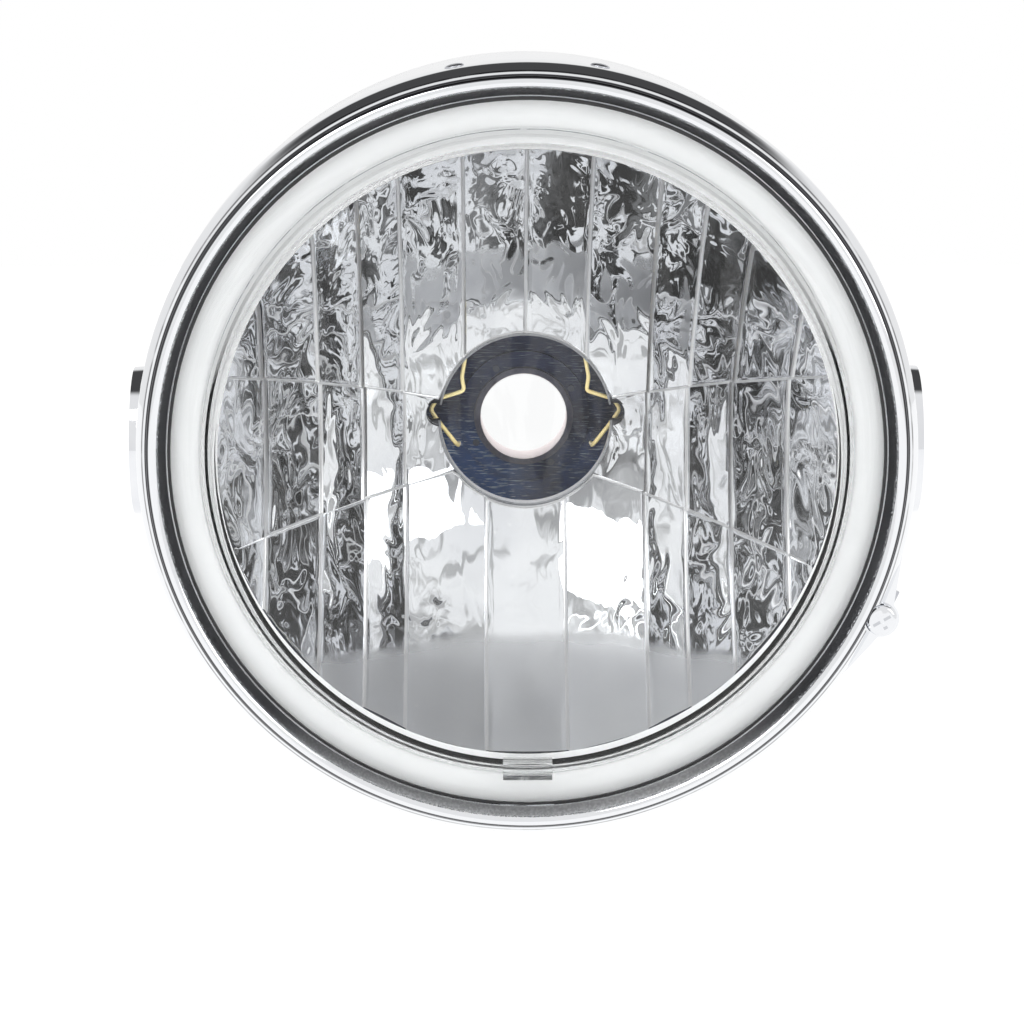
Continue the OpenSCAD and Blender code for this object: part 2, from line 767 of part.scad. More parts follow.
shell();
rim();
lens();
lens_seal();
reflector();
bulb_holder();
holder_rivets();
bulb_spring();
retaining_clips();
rim_screw();
rim_screw_nut();
screw_bracket();
bracket_rivets();
rim_hook();
hook_rivets();
side_plate_left();
side_plate_right();
side_nut_left();
side_nut_right();
wiring_ferrule();
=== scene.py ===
"""Round chrome headlight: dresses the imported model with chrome, glass, facets, spring clip and studio."""

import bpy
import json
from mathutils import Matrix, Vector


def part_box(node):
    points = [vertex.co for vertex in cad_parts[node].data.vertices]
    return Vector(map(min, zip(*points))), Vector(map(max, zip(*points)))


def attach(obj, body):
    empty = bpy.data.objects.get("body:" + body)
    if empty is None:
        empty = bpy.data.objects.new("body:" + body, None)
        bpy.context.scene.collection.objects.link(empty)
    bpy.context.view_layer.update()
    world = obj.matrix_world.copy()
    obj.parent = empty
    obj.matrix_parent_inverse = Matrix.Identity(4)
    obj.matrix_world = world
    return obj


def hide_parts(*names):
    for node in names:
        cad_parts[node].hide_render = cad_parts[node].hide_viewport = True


bl_info = {
    "name": "Round Headlight",
    "version": (1, 0, 0),
    "blender": (4, 5, 0),
    "location": "3D View > Sidebar > Headlight",
    "description": "Builds the visible pieces of a round chrome headlight around its packed solids",
    "category": "Object",
}

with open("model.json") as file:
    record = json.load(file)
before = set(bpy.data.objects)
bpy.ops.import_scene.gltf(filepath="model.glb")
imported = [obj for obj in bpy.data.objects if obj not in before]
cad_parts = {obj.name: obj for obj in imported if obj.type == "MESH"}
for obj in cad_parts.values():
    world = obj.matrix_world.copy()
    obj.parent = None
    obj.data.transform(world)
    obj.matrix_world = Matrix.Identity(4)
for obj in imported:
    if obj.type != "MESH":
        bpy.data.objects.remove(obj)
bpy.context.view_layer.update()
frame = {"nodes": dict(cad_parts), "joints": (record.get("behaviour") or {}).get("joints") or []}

import json
import math

import bmesh
import bpy
from bpy.props import FloatProperty, FloatVectorProperty, IntProperty, PointerProperty
from mathutils import Vector, noise

MM = 0.001

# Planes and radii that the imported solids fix
SHEET = 1.0 * MM
LIP_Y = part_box("lens_seal")[0].y - SHEET
LENS_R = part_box("lens")[1].x
GLASS_BACK_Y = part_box("lens")[1].y
FLANGE_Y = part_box("reflector")[0].y
SHELL_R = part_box("shell")[1].z
HOLE_Z = (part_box("wiring_ferrule")[0].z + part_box("wiring_ferrule")[1].z) / 2
WALL_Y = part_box("shell")[1].y - 2.3 * MM
SCREW_ANGLE = -25.4


# Settings

def length(label, description, millimetres):
    return FloatProperty(name=label, description=description, default=millimetres * MM, unit="LENGTH")


def tint(label, description, value):
    return FloatVectorProperty(name=label, description=description, subtype="COLOR", default=value)


def angle(label, description, degrees):
    return FloatProperty(name=label, description=description, subtype="ANGLE",
                         default=math.radians(degrees))


class HeadlightSizes(bpy.types.PropertyGroup):
    """Sizes of the glass, the facets and the wire"""
    edge_thickness: length("Glass edge", "Thickness of the flat glass edge", 4.0)
    glass_wall: length("Glass wall", "Thickness of the raised glass", 1.6)
    side_wall: length("Side wall", "Thickness of the glass at the side of the step", 0.7)
    foot_radius: length("Step foot", "Radius at the foot of the raised step", 79.0)
    face_radius: length("Step top", "Radius at the top of the raised step", 75.0)
    step_height: length("Step height", "How far the step stands ahead of the lip", 4.5)
    dome_height: length("Dome height", "Rise of the dome above the step", 9.0)
    tab_width: length("Tab width", "Width of the moulded tab", 12.0)
    tab_height: length("Tab height", "Height of the moulded tab", 5.0)
    focal: length("Focal length", "Focal length of the bowl", 27.52)
    facet_swell: length("Facet swell", "Height of the swell on each facet", 0.5)
    facet_step: length("Facet step", "Step from one facet to the next", 0.6)
    ridge_width: length("Ridge width", "Width of the ridge between facets", 1.1)
    ridge_height: length("Ridge height", "Height of the ridge between facets", 0.3)
    ripple: length("Ripple", "Height of the moulding ripple on the facets", 0.10)
    seal_inner: length("Seal inner radius", "Radius of the rubber's visible edge", 86.15)
    seal_sag: length("Seal sag", "How far the rubber's visible edge sits low", 0.4)
    wire_radius: length("Wire radius", "Radius of the spring wire", 0.525)
    turns: IntProperty(name="Segments", description="Segments round the lamp", default=256, min=64)


class HeadlightFinish(bpy.types.PropertyGroup):
    """Colours of the finishes"""
    chrome: tint("Chrome", "Colour of the chrome plate", (0.82, 0.83, 0.85))
    mirror: tint("Mirror", "Colour of the aluminised bowl", (0.90, 0.91, 0.93))
    flange: tint("Flange", "Colour of the bowl's flat edge behind the glass", (0.93, 0.935, 0.94))
    glass: tint("Glass", "Tint of the glass", (0.985, 0.992, 0.992))
    rubber: tint("Rubber", "Colour of the seal", (0.012, 0.012, 0.013))
    # Painted shade: a dark navy that stands in for the dark reflection of the shell's shaded inside
    inner_steel_shade: tint("Inner steel", "Colour of the shell's bare inside", (0.022, 0.042, 0.140))
    zinc: tint("Zinc", "Colour of the plated small parts", (0.60, 0.61, 0.64))
    wire: tint("Wire", "Colour of the yellow wire", (1.0, 0.84, 0.42))


class HeadlightStudio(bpy.types.PropertyGroup):
    """Camera and light"""
    distance: length("Distance", "Camera to the lip's centre", 900.0)
    azimuth: angle("Azimuth", "Camera angle to the right", -0.6)
    elevation: angle("Elevation", "Camera angle above the axis", 10.3)
    width_seen: length("Width seen", "Width of the picture at the lip", 246.75)
    level: FloatProperty(
        name="Light level", description="Strength of the studio's soft light", default=0.9)
    bounce_level: FloatProperty(
        name="Bounce level", description="Strength of the room as seen by matt surfaces", default=2.3)
    floor_drop: length("Floor drop", "Floor below the lamp's axis", 350.0)


def sizes():
    return bpy.context.scene.headlight_sizes


def finish():
    return bpy.context.scene.headlight_finish


# Meshes

def blend_of(a, b, u):
    return a + (b - a) * u


def linked(name, data):
    """An object at the origin, in the scene"""
    obj = bpy.data.objects.new(name, data)
    bpy.context.scene.collection.objects.link(obj)
    return obj


def new_object(name, mesh, materials, sharp):
    """An object with smooth faces that break at the given angle"""
    obj = linked(name, mesh)
    for material in materials:
        mesh.materials.append(material)
    mesh.shade_smooth()
    mesh.set_sharp_from_angle(angle=math.radians(sharp))
    return obj


def cleaned(mesh, merge=0.0, turn=True):
    """Merges a mesh's near points and turns its normals outwards"""
    work = bmesh.new()
    work.from_mesh(mesh)
    if merge:
        bmesh.ops.remove_doubles(work, verts=work.verts, dist=merge)
    if turn:
        bmesh.ops.recalc_face_normals(work, faces=work.faces)
    work.to_mesh(mesh)
    work.free()
    return mesh


def closed_mesh(name, verts, faces):
    mesh = bpy.data.meshes.new(name)
    mesh.from_pydata([tuple(v) for v in verts], [], faces)
    return cleaned(mesh, 1e-7)


def revolve(outline, turns):
    """Vertices and faces of a closed outline of radius and y, turned round the lamp's axis"""
    verts, faces = [], []
    n = len(outline)
    for i in range(turns):
        a = 2 * math.pi * i / turns
        verts += [(r * math.cos(a), y, r * math.sin(a)) for r, y in outline]
    for i in range(turns):
        j = (i + 1) % turns
        for k in range(n):
            m = (k + 1) % n
            faces.append((i * n + k, i * n + m, j * n + m, j * n + k))
    return verts, faces


def arc(centre, radius, start, end, steps):
    """Points on a round stretch of an outline, angles in degrees"""
    return [(centre[0] + radius * math.cos(math.radians(blend_of(start, end, i / steps))),
             centre[1] + radius * math.sin(math.radians(blend_of(start, end, i / steps))))
            for i in range(steps + 1)]


def dressed(node_name, name, materials, slot, sharp=40, inner=None):
    """A merged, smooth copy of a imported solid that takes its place. inner gives faces their material"""
    mesh = frame["nodes"][node_name].data.copy()
    mesh.name = name
    if mesh.has_custom_normals:
        mesh.attributes.remove(mesh.attributes["custom_normal"])
    cleaned(mesh, 2e-6, turn=False)
    mesh.materials.clear()
    obj = new_object(name, mesh, materials, sharp)
    for poly in mesh.polygons:
        poly.material_index = 1 if inner and inner(poly) else 0
    return seated(obj, slot, "lamp", node_name)


def seated(obj, slot, body, *nodes):
    """Hides the solids that a finished piece stands for and hangs the piece on its body; slot, its finish,
    is not used
    """
    if nodes:
        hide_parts(*nodes)
    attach(obj, body)
    return obj


# Shader helpers

def join(tree, source, target):
    tree.links.new(source, target)


def feed(tree, slot, value):
    """Links an input to a socket or sets it to a value"""
    if isinstance(value, bpy.types.NodeSocket):
        join(tree, value, slot)
    else:
        slot.default_value = value


def fill(tree, node, inputs):
    """Links or sets a node's inputs by name"""
    for key, value in inputs.items():
        feed(tree, node.inputs[key.replace("_", " ")], value)
    return node


def add(tree, kind, **inputs):
    return fill(tree, tree.nodes.new(kind), inputs)


def maths(tree, operation, *values):
    """A Math node on sockets or numbers"""
    made = tree.nodes.new("ShaderNodeMath")
    made.operation = operation
    for slot, value in zip(made.inputs, values):
        feed(tree, slot, value)
    return made.outputs[0]


def times(tree, first, *others):
    for other in others:
        first = maths(tree, "MULTIPLY", first, other)
    return first


def vector_maths(tree, operation, a, b):
    made = tree.nodes.new("ShaderNodeVectorMath")
    made.operation = operation
    feed(tree, made.inputs[0], a)
    feed(tree, made.inputs[1], b)
    return made


def spread(tree, value, low, high, to_low=0.0, to_high=1.0):
    """A smooth ramp from one range to another"""
    made = add(tree, "ShaderNodeMapRange", Value=value, From_Min=low, From_Max=high, To_Min=to_low,
               To_Max=to_high)
    made.interpolation_type = "SMOOTHSTEP"
    return made.outputs["Result"]


def fall(tree, value, low, high):
    """A smooth ramp from 1 down to 0"""
    return spread(tree, value, low, high, 1.0, 0.0)


def even(level):
    """A plain grey"""
    return level, level, level


def colour_mix(tree, share, a, b):
    """A colour between two colours or sockets"""
    made = tree.nodes.new("ShaderNodeMix")
    made.data_type = "RGBA"
    feed(tree, made.inputs[0], share)
    for slot, value in ((made.inputs[6], a), (made.inputs[7], b)):
        feed(tree, slot, value if isinstance(value, bpy.types.NodeSocket) else (*value[:3], 1.0))
    return made.outputs[2]


def shader_group(name, inputs, outputs):
    """An empty shader group with named sockets; returns the tree, its input node and its output node"""
    group = bpy.data.node_groups.new(name, "ShaderNodeTree")
    for label, kind, value in inputs:
        made = group.interface.new_socket(label, in_out="INPUT", socket_type=kind)
        made.default_value = value
    for label in outputs:
        group.interface.new_socket(label, in_out="OUTPUT", socket_type="NodeSocketFloat")
    return group, group.nodes.new("NodeGroupInput"), group.nodes.new("NodeGroupOutput")


def place_coordinates(tree, scale=(1, 1, 1)):
    """Object coordinates through a Mapping node"""
    place = tree.nodes.new("ShaderNodeTexCoord")
    return add(tree, "ShaderNodeMapping", Vector=place.outputs["Object"], Scale=scale).outputs["Vector"]


def scratches_group():
    """Fine scratches in three directions: a mask of their lines and a height"""
    found = bpy.data.node_groups.get("Scratches")
    if found:
        return found
    group, start, end = shader_group(
        "Scratches",
        [("Vector", "NodeSocketVector", (0, 0, 0)), ("Scale", "NodeSocketFloat", 1.0),
         ("Amount", "NodeSocketFloat", 0.5)], ("Mask", "Height"))
    lines_per_metre = 260.0
    total = None
    for turn, stretch, seed in ((0.5, 14.0, 1.7), (-0.8, 18.0, 5.1), (1.4, 11.0, 9.3)):
        mapping = add(group, "ShaderNodeMapping", Vector=start.outputs["Vector"],
                      Rotation=(turn * 0.4, turn, turn * 0.6), Location=(seed, seed, seed),
                      Scale=(lines_per_metre / stretch, lines_per_metre, lines_per_metre))
        grain = add(group, "ShaderNodeTexNoise", Vector=mapping.outputs["Vector"], Detail=2.0,
                    Roughness=0.6, Scale=times(group, start.outputs["Scale"], 5.0))
        line = spread(group, grain.outputs["Fac"], 0.60, 0.72)
        total = line if total is None else maths(group, "MAXIMUM", total, line)
    mask = times(group, total, start.outputs["Amount"])
    mask.node.use_clamp = True
    join(group, mask, end.inputs["Mask"])
    join(group, maths(group, "SUBTRACT", 1.0, mask), end.inputs["Height"])
    return group


def grain_group():
    """Uneven grain: a broad tone, fine grain and specks"""
    found = bpy.data.node_groups.get("Grain")
    if found:
        return found
    group, start, end = shader_group(
        "Grain",
        [("Vector", "NodeSocketVector", (0, 0, 0)), ("Broad Scale", "NodeSocketFloat", 40.0),
         ("Fine Scale", "NodeSocketFloat", 1500.0)], ("Broad", "Fine", "Specks"))
    place = start.outputs["Vector"]
    for label, detail in (("Broad", 3.0), ("Fine", 2.0)):
        grain = add(group, "ShaderNodeTexNoise", Vector=place, Scale=start.outputs[label + " Scale"],
                    Detail=detail, Roughness=0.55)
        join(group, grain.outputs["Fac"], end.inputs[label])
    dots = add(group, "ShaderNodeTexVoronoi", Vector=place,
               Scale=times(group, start.outputs["Fine Scale"], 0.22))
    join(group, spread(group, dots.outputs["Distance"], 0.16, 0.05), end.inputs["Specks"])
    return group


def grouped(tree, group, **inputs):
    """A node of a shader group with its inputs linked or set by name"""
    made = tree.nodes.new("ShaderNodeGroup")
    made.node_tree = group
    return fill(tree, made, inputs)


def new_material(name, colour, metallic, roughness, **sockets):
    """A Principled material; returns it with its tree and shader"""
    material = bpy.data.materials.new(name)
    material.use_nodes = True
    tree = material.node_tree
    sockets.update(Base_Color=(*colour, 1.0), Metallic=metallic, Roughness=roughness)
    return material, tree, fill(tree, tree.nodes["Principled BSDF"], sockets)


def grained_material(name, colour, metallic, roughness, broad, fine, **sockets):
    """A Principled material with object coordinates and the grain on them"""
    material, tree, shader = new_material(name, colour, metallic, roughness, **sockets)
    place = place_coordinates(tree)
    grain = grouped(tree, grain_group(), Vector=place, Broad_Scale=broad, Fine_Scale=fine)
    return material, tree, shader, place, grain.outputs


def bump(tree, shader, height, distance, strength=1.0):
    made = add(tree, "ShaderNodeBump", Height=height, Distance=distance, Strength=strength)
    join(tree, made.outputs["Normal"], shader.inputs["Normal"])


def metal_finish(name, colour, dark, roughness, spread_of_roughness, scratch, metallic=1.0):
    """Plated metal: broad tone, fine grain in the gloss and light scratches"""
    material, tree, shader, place, grain = grained_material(name, colour, metallic, roughness, 60.0, 1800.0)
    marks = grouped(tree, scratches_group(), Vector=place, Scale=1.0, Amount=scratch)
    tone = spread(tree, grain["Broad"], 0.35, 0.70)
    join(tree, colour_mix(tree, tone, colour, dark), shader.inputs["Base Color"])
    rough = maths(tree, "MULTIPLY_ADD", grain["Fine"], spread_of_roughness, roughness)
    join(tree, maths(tree, "MULTIPLY_ADD", marks.outputs["Mask"], 0.25, rough), shader.inputs["Roughness"])
    bump(tree, shader, marks.outputs["Height"], 0.004 * MM)
    return material


def split_place(tree, place):
    return add(tree, "ShaderNodeSeparateXYZ", Vector=place).outputs


def radius_at(tree, place):
    """Distance from the lamp's axis, with the split coordinates"""
    split = split_place(tree, place)
    square = maths(tree, "ADD", times(tree, split["X"], split["X"]), times(tree, split["Z"], split["Z"]))
    return maths(tree, "SQRT", square), split


def ring(tree, radius, inside, outside, soft=0.1 * MM):
    """1 between two radii"""
    return times(tree, spread(tree, radius, inside - soft, inside + soft),
                 fall(tree, radius, outside - soft, outside + soft))


def near_spot(tree, place, spot, reach):
    """1 at a spot, falling to 0 at its reach"""
    gap = vector_maths(tree, "DISTANCE", place, spot)
    return spread(tree, gap.outputs["Value"], reach, reach * 0.35)


def named(name, maker):
    """A material by name, made once"""
    return bpy.data.materials.get(name) or maker()


# Finishes

def chrome_finish():
    """Bright chrome of the shell and the screw"""
    return metal_finish("bright_chrome", finish().chrome, (0.76, 0.77, 0.80), 0.035, 0.03, 0.10)


def rim_finish():
    """Chrome with a rough, grainy turned band inside the bead, painted as shade: near-black above and paler
    grey towards the bottom; and dark lines painted as shade where the groove turns
    """
    colour = finish().chrome
    band_in, band_out, groove_in, groove_out, line_in, line_out = (
        r * MM for r in (87.00, 89.30, 91.12, 92.15, 92.65, 93.00))
    material, tree, shader, place, grain = grained_material("rim_chrome", colour, 1.0, 0.04, 90.0, 1500.0)
    radius, split = radius_at(tree, place)
    ragged = maths(tree, "MULTIPLY_ADD", grain["Fine"], 1.2 * MM, radius)
    ahead = spread(tree, split["Y"], LIP_Y - 3.0 * MM, LIP_Y - 2.6 * MM)
    front = fall(tree, split["Y"], LIP_Y + 0.6 * MM, LIP_Y + 0.8 * MM)
    band = times(tree, spread(tree, radius, band_in, band_in + 0.12 * MM),
                 fall(tree, ragged, band_out + 0.05 * MM, band_out + 0.55 * MM), ahead, front)
    # Painted shade and reflection: the band's tone is painted grey, paler outwards, and near-black
    # everywhere but towards the bottom
    outward = colour_mix(tree, spread(tree, radius, band_in + 0.1 * MM, band_out), (0.42, 0.42, 0.43),
                         (0.80, 0.80, 0.81))
    speckle = spread(tree, grain["Fine"], 0.30, 0.62)
    outward = colour_mix(tree, times(tree, speckle, 0.35), outward, (0.12, 0.12, 0.125))
    lower = spread(tree, split["Z"], -60 * MM, -88 * MM)
    band_shade = colour_mix(tree, lower, (0.085, 0.085, 0.09), outward)
    tone = colour_mix(tree, band, colour, band_shade)
    # Painted shade: dark in the groove, and a dark line where the profile turns beyond it
    groove = times(tree, ring(tree, radius, groove_in, groove_out), front)
    tone = colour_mix(tree, groove, tone, (0.05, 0.05, 0.055))
    line = times(tree, ring(tree, radius, line_in, line_out), front,
                 spread(tree, grain["Broad"], 0.25, 0.60))
    join(tree, colour_mix(tree, line, tone, (0.22, 0.22, 0.23)), shader.inputs["Base Color"])
    join(tree, maths(tree, "MULTIPLY_ADD", band, 0.30, 0.04), shader.inputs["Roughness"])
    bump(tree, shader, times(tree, grain["Fine"], band), 0.08 * MM)
    return material


def glass_finish():
    """Clear moulded glass"""
    material, tree, shader, _, grain = grained_material(
        "clear_glass", finish().glass, 0.0, 0.0, 30.0, 900.0, Transmission_Weight=1.0, IOR=1.45)
    bump(tree, shader, grain["Broad"], 0.02 * MM, 0.3)
    return material


def rubber_finish():
    material, tree, shader, _, grain = grained_material(
        "black_rubber", finish().rubber, 0.0, 0.55, 120.0, 2500.0)
    join(tree, colour_mix(tree, grain["Broad"], finish().rubber, (0.03, 0.03, 0.032)),
         shader.inputs["Base Color"])
    bump(tree, shader, grain["Fine"], 0.04 * MM)
    return material


def mirror_finish():
    """Aluminised facets: bright soft ridges, moulded swirls, and a misty zone at the bottom"""
    colour = finish().mirror
    material, tree, shader, place, grain = grained_material(
        "aluminised_mirror", colour, 1.0, 0.02, 26.0, 1100.0)
    split = split_place(tree, place)
    ridge = tree.nodes.new("ShaderNodeAttribute")
    ridge.attribute_name = "ridge"
    edge = spread(tree, ridge.outputs["Fac"], 0.15, 0.6)
    tone = colour_mix(tree, spread(tree, grain["Broad"], 0.35, 0.65), colour, (0.80, 0.81, 0.84))
    tone = colour_mix(tree, times(tree, grain["Specks"], 0.25), tone, even(1.0))
    join(tree, colour_mix(tree, edge, tone, (0.97, 0.97, 0.98)), shader.inputs["Base Color"])
    wavy = maths(tree, "MULTIPLY_ADD", grain["Broad"], 10 * MM, split["Z"])
    misty = maths(tree, "MULTIPLY_ADD", spread(tree, wavy, -45.0 * MM, -48.5 * MM), 0.26, 0.02)
    join(tree, maths(tree, "MULTIPLY_ADD", edge, 0.35, misty), shader.inputs["Roughness"])
    swirl = add(tree, "ShaderNodeTexNoise", Vector=place_coordinates(tree, (150, 60, 80)), Scale=1.0,
                Detail=1.0, Roughness=0.4, Distortion=0.9)
    middle = times(tree, fall(tree, maths(tree, "ABSOLUTE", split["X"]), 18 * MM, 26 * MM),
                   spread(tree, split["Z"], -10 * MM, -18 * MM))
    calm = times(tree, spread(tree, split["Z"], -56 * MM, -46 * MM),
                 maths(tree, "MULTIPLY_ADD", middle, -0.7, 1.0))
    bump(tree, shader, times(tree, swirl.outputs["Fac"], calm), 0.34 * MM)
    return material


def flange_finish():
    """The bowl's flat edge: pale satin that shows through the glass"""
    material, tree, shader, _, grain = grained_material(
        "flange_satin", finish().flange, 0.0, 0.5, 60.0, 1400.0)
    join(tree, colour_mix(tree, grain["Broad"], finish().flange, (0.90, 0.905, 0.91)),
         shader.inputs["Base Color"])
    return material


def painted_dark_steel(name, metallic, roughness, over=None, **sockets):
    """Steel painted blue-black as shade, with scratches, and a painted bluish sheen at the lower left and
    lower right of the rear wall, where the scratches are painted brighter
    """
    colour = finish().inner_steel_shade
    material, tree, shader, place, grain = grained_material(name, colour, metallic, roughness, 45.0, 1600.0,
                                                            **sockets)
    fine = grouped(tree, scratches_group(), Vector=place, Scale=2.0, Amount=1.0)
    # Painted sheen: bluish patches at the lower left and lower right, which also brighten the scratches
    # there; the scratches themselves are wear
    left_painted_sheen = near_spot(tree, place, (-12.5 * MM, 51 * MM, -24 * MM), 20 * MM)
    right_painted_sheen = near_spot(tree, place, (16.5 * MM, 51 * MM, -21.5 * MM), 11 * MM)
    painted_sheen = maths(tree, "MAXIMUM", left_painted_sheen, times(tree, right_painted_sheen, 0.35))
    mask = times(tree, fine.outputs["Mask"], maths(tree, "MULTIPLY_ADD", painted_sheen, 0.80, 0.28))
    tone = colour_mix(tree, spread(tree, grain["Broad"], 0.4, 0.65), colour, (0.016, 0.020, 0.045))
    tone = colour_mix(tree, times(tree, painted_sheen, 0.6), tone, (0.06, 0.20, 0.62))
    tone = colour_mix(tree, mask, tone, (0.75, 0.90, 1.0))
    tone = colour_mix(tree, times(tree, grain["Specks"], 0.35), tone, (0.5, 0.6, 0.75))
    if over:
        tone = over(tree, place, grain, tone)
    join(tree, tone, shader.inputs["Base Color"])
    join(tree, maths(tree, "MULTIPLY_ADD", grain["Fine"], 0.3, 0.25), shader.inputs["Roughness"])
    bump(tree, shader, fine.outputs["Height"], 0.02 * MM)
    return material


def inner_steel_finish():
    """Inside of the shell, painted blue-black as shade"""
    return painted_dark_steel("inner_steel_painted_dark", 0.0, 0.3, Specular_IOR_Level=0.2)


def collar_tones(tree, place, grain, tone):
    """Pale pink inside the bore as a painted reflection of the bright background, grey on the collar's end
    and on its weld
    """
    bore_r, collar_r, weld_in, weld_out = (r * MM for r in (11.55, 13.25, 13.7, 15.7))
    radius, split = radius_at(tree, vector_maths(tree, "SUBTRACT", place, (0, 0, HOLE_Z)).outputs[0])
    grey = colour_mix(tree, grain["Fine"], (0.10, 0.10, 0.15), (0.26, 0.26, 0.34))
    tone = colour_mix(tree, fall(tree, radius, collar_r, collar_r + 0.1 * MM), tone, grey)
    weld = times(tree, ring(tree, radius, weld_in, weld_out),
                 fall(tree, split["Y"], WALL_Y - 0.3 * MM, WALL_Y))
    tone = colour_mix(tree, weld, tone, (0.10, 0.12, 0.18))
    # Painted reflection: the bore is painted pale pink where the bright background shines in
    return colour_mix(tree, fall(tree, radius, bore_r, bore_r + 0.15 * MM), tone, (0.86, 0.78, 0.78))


def ferrule_finish():
    """Welded collar, painted as dark as the shell's inside on its flange, as shade"""
    return painted_dark_steel("welded_steel", 0.25, 0.35, collar_tones)


def zinc_finish(name="zinc_plate"):
    return metal_finish(name, finish().zinc, (0.50, 0.51, 0.55), 0.22, 0.15, 0.3)


def holder_finish():
    """Zinc plate painted dark round its two notches as shade, where the bowl's ears look through into the
    shell
    """
    material = zinc_finish("holder_zinc")
    tree = material.node_tree
    place = place_coordinates(tree)
    # Painted shade: dark spots round the notches stand in for the dark gap seen through the bowl's ears
    painted_shade_spots = [near_spot(tree, place, (x * MM, 4 * MM, 2 * MM), 6.5 * MM) for x in (23.2, -23.2)]
    target = tree.nodes["Principled BSDF"].inputs["Base Color"]
    plain = target.links[0].from_socket
    join(tree, colour_mix(tree, maths(tree, "MAXIMUM", *painted_shade_spots), plain, (0.012, 0.013, 0.02)), target)
    return material


def spring_steel_finish():
    return metal_finish("sprung_steel", (0.42, 0.42, 0.45), (0.30, 0.30, 0.34), 0.25, 0.15, 0.3)


def wire_finish():
    return metal_finish("yellow_wire", finish().wire, (0.88, 0.70, 0.30), 0.28, 0.12, 0.2, metallic=0.15)


# Glass

def dome_depth(r, s, face, top):
    """y of the dome's front at a radius"""
    curve = (face * face + s.dome_height ** 2) / (2 * s.dome_height)
    return LIP_Y + curve - math.sqrt(curve * curve - r * r) - s.dome_height - s.step_height + top


def lens_mesh():
    """Flat edge, raised step and dome in glass of one thickness"""
    s = sizes()
    front = GLASS_BACK_Y - s.edge_thickness
    steps = 40
    inner = s.face_radius - s.side_wall
    top = LIP_Y - s.step_height
    outline = [(s.foot_radius - s.side_wall, GLASS_BACK_Y),
               (s.foot_radius - s.side_wall - 0.3 * MM, front + s.side_wall)]
    outline += arc((LENS_R - 0.4 * MM, GLASS_BACK_Y - 0.4 * MM), 0.4 * MM, 90, 0, 4)
    outline += arc((LENS_R - 0.4 * MM, front + 0.4 * MM), 0.4 * MM, 0, -90, 4)
    outline += [(s.foot_radius + 1.2 * MM, front), (s.foot_radius + 0.5 * MM, front - 0.08 * MM),
                (s.foot_radius + 0.1 * MM, front - 0.4 * MM), (s.foot_radius - 0.1 * MM, front - 0.8 * MM)]
    outline += [(s.face_radius + 1.1 * MM, top + 1.0 * MM), (s.face_radius + 0.8 * MM, top + 0.5 * MM),
                (s.face_radius + 0.3 * MM, top + 0.12 * MM)]
    outline += [(s.face_radius * i / steps, dome_depth(s.face_radius * i / steps, s, s.face_radius, 0))
                for i in range(steps, 0, -1)]
    outline += [(0, dome_depth(0, s, s.face_radius, 0)),
                (0, dome_depth(0, s, s.face_radius, s.glass_wall))]
    outline += [(inner * i / steps, dome_depth(inner * i / steps, s, s.face_radius, s.glass_wall))
                for i in range(1, steps + 1)]
    verts, faces = revolve(outline, s.turns)
    return closed_mesh("lens", verts, faces)


def tab_mesh():
    """The moulded tab at the bottom of the glass, ribbed across its lower half"""
    s = sizes()
    half = s.tab_width / 2
    high = GLASS_BACK_Y - s.edge_thickness + 0.4 * MM
    y0 = LIP_Y - s.step_height + 2 * MM
    z0 = -s.foot_radius - 1 * MM
    z1 = z0 + s.tab_height
    ribs, depth = 5, 0.25 * MM
    outline = [(y0 + 0.3 * MM, z1), (y0, z1 - 0.3 * MM)]
    for i in range(ribs):
        z = z0 + 1.9 * MM - i * 0.34 * MM
        outline += [(y0, z), (y0 + depth, z - 0.17 * MM)]
    outline += [(y0, z0 + 0.2 * MM), (y0 + 0.2 * MM, z0), (high, z0), (high, z1)]
    n = len(outline)
    verts = [(x, y, z) for x in (-half, half) for y, z in outline]
    faces = [tuple(range(n)), tuple(range(2 * n - 1, n - 1, -1))]
    faces += [(i, (i + 1) % n, n + (i + 1) % n, n + i) for i in range(n)]
    return closed_mesh("lens_tab", verts, faces)


# Reflector, in millimetres

SEAT_R = 21.6
HOLE_R = SEAT_R + 0.55
BOWL_WALL = 2.4
EAR_X, EAR_Z, EAR_R = 21.7, 2.0, 3.5
UPPER_LINES = [0, 15.5, 31, 41, 51.6, 64.7]
UPPER_LEAN = [0, 0.5, 1.5, 2.5, 3, 2, 0]
LOWER_LINES = [10, 30, 40, 51, 64]
SIDE_LINES = [15, 30.5, 40.5, 51, 64]
FIELD_R = 77.8
THIRD_RISE = 0.12
FIELD_OVERLAP = 0.4
FIELD_GAP = 0.05


def upper_border(x):
    return 0.25 * abs(x) + 0.3


def lower_border(x):
    return -(0.20 if x < 0 else 0.27) * abs(x) - 9.6


def border_end(border, sign, radius):
    """Where a border meets the rim of the bowl"""
    low, high = 40.0, radius
    for _ in range(40):
        mid = (low + high) / 2
        low, high = (mid, high) if math.hypot(mid, border(sign * mid)) < radius else (low, mid)
    return low


def hole_edge(z):
    """Distance of the hole's edge from the middle at a height, with the ear beside the axis"""
    round_edge = math.sqrt(max(HOLE_R ** 2 - z * z, 0))
    up = EAR_R ** 2 - (z - EAR_Z) ** 2
    return max(round_edge, EAR_X + math.sqrt(up) if up > 0 else 0)


def hole_radius(angle):
    """Radius of the hole's edge at an angle, ears included"""
    radius = HOLE_R
    while True:
        x, z = abs(radius * math.cos(angle)), radius * math.sin(angle)
        if math.hypot(max(x - EAR_X, 0), z - EAR_Z) > EAR_R:
            return radius
        radius += 0.03


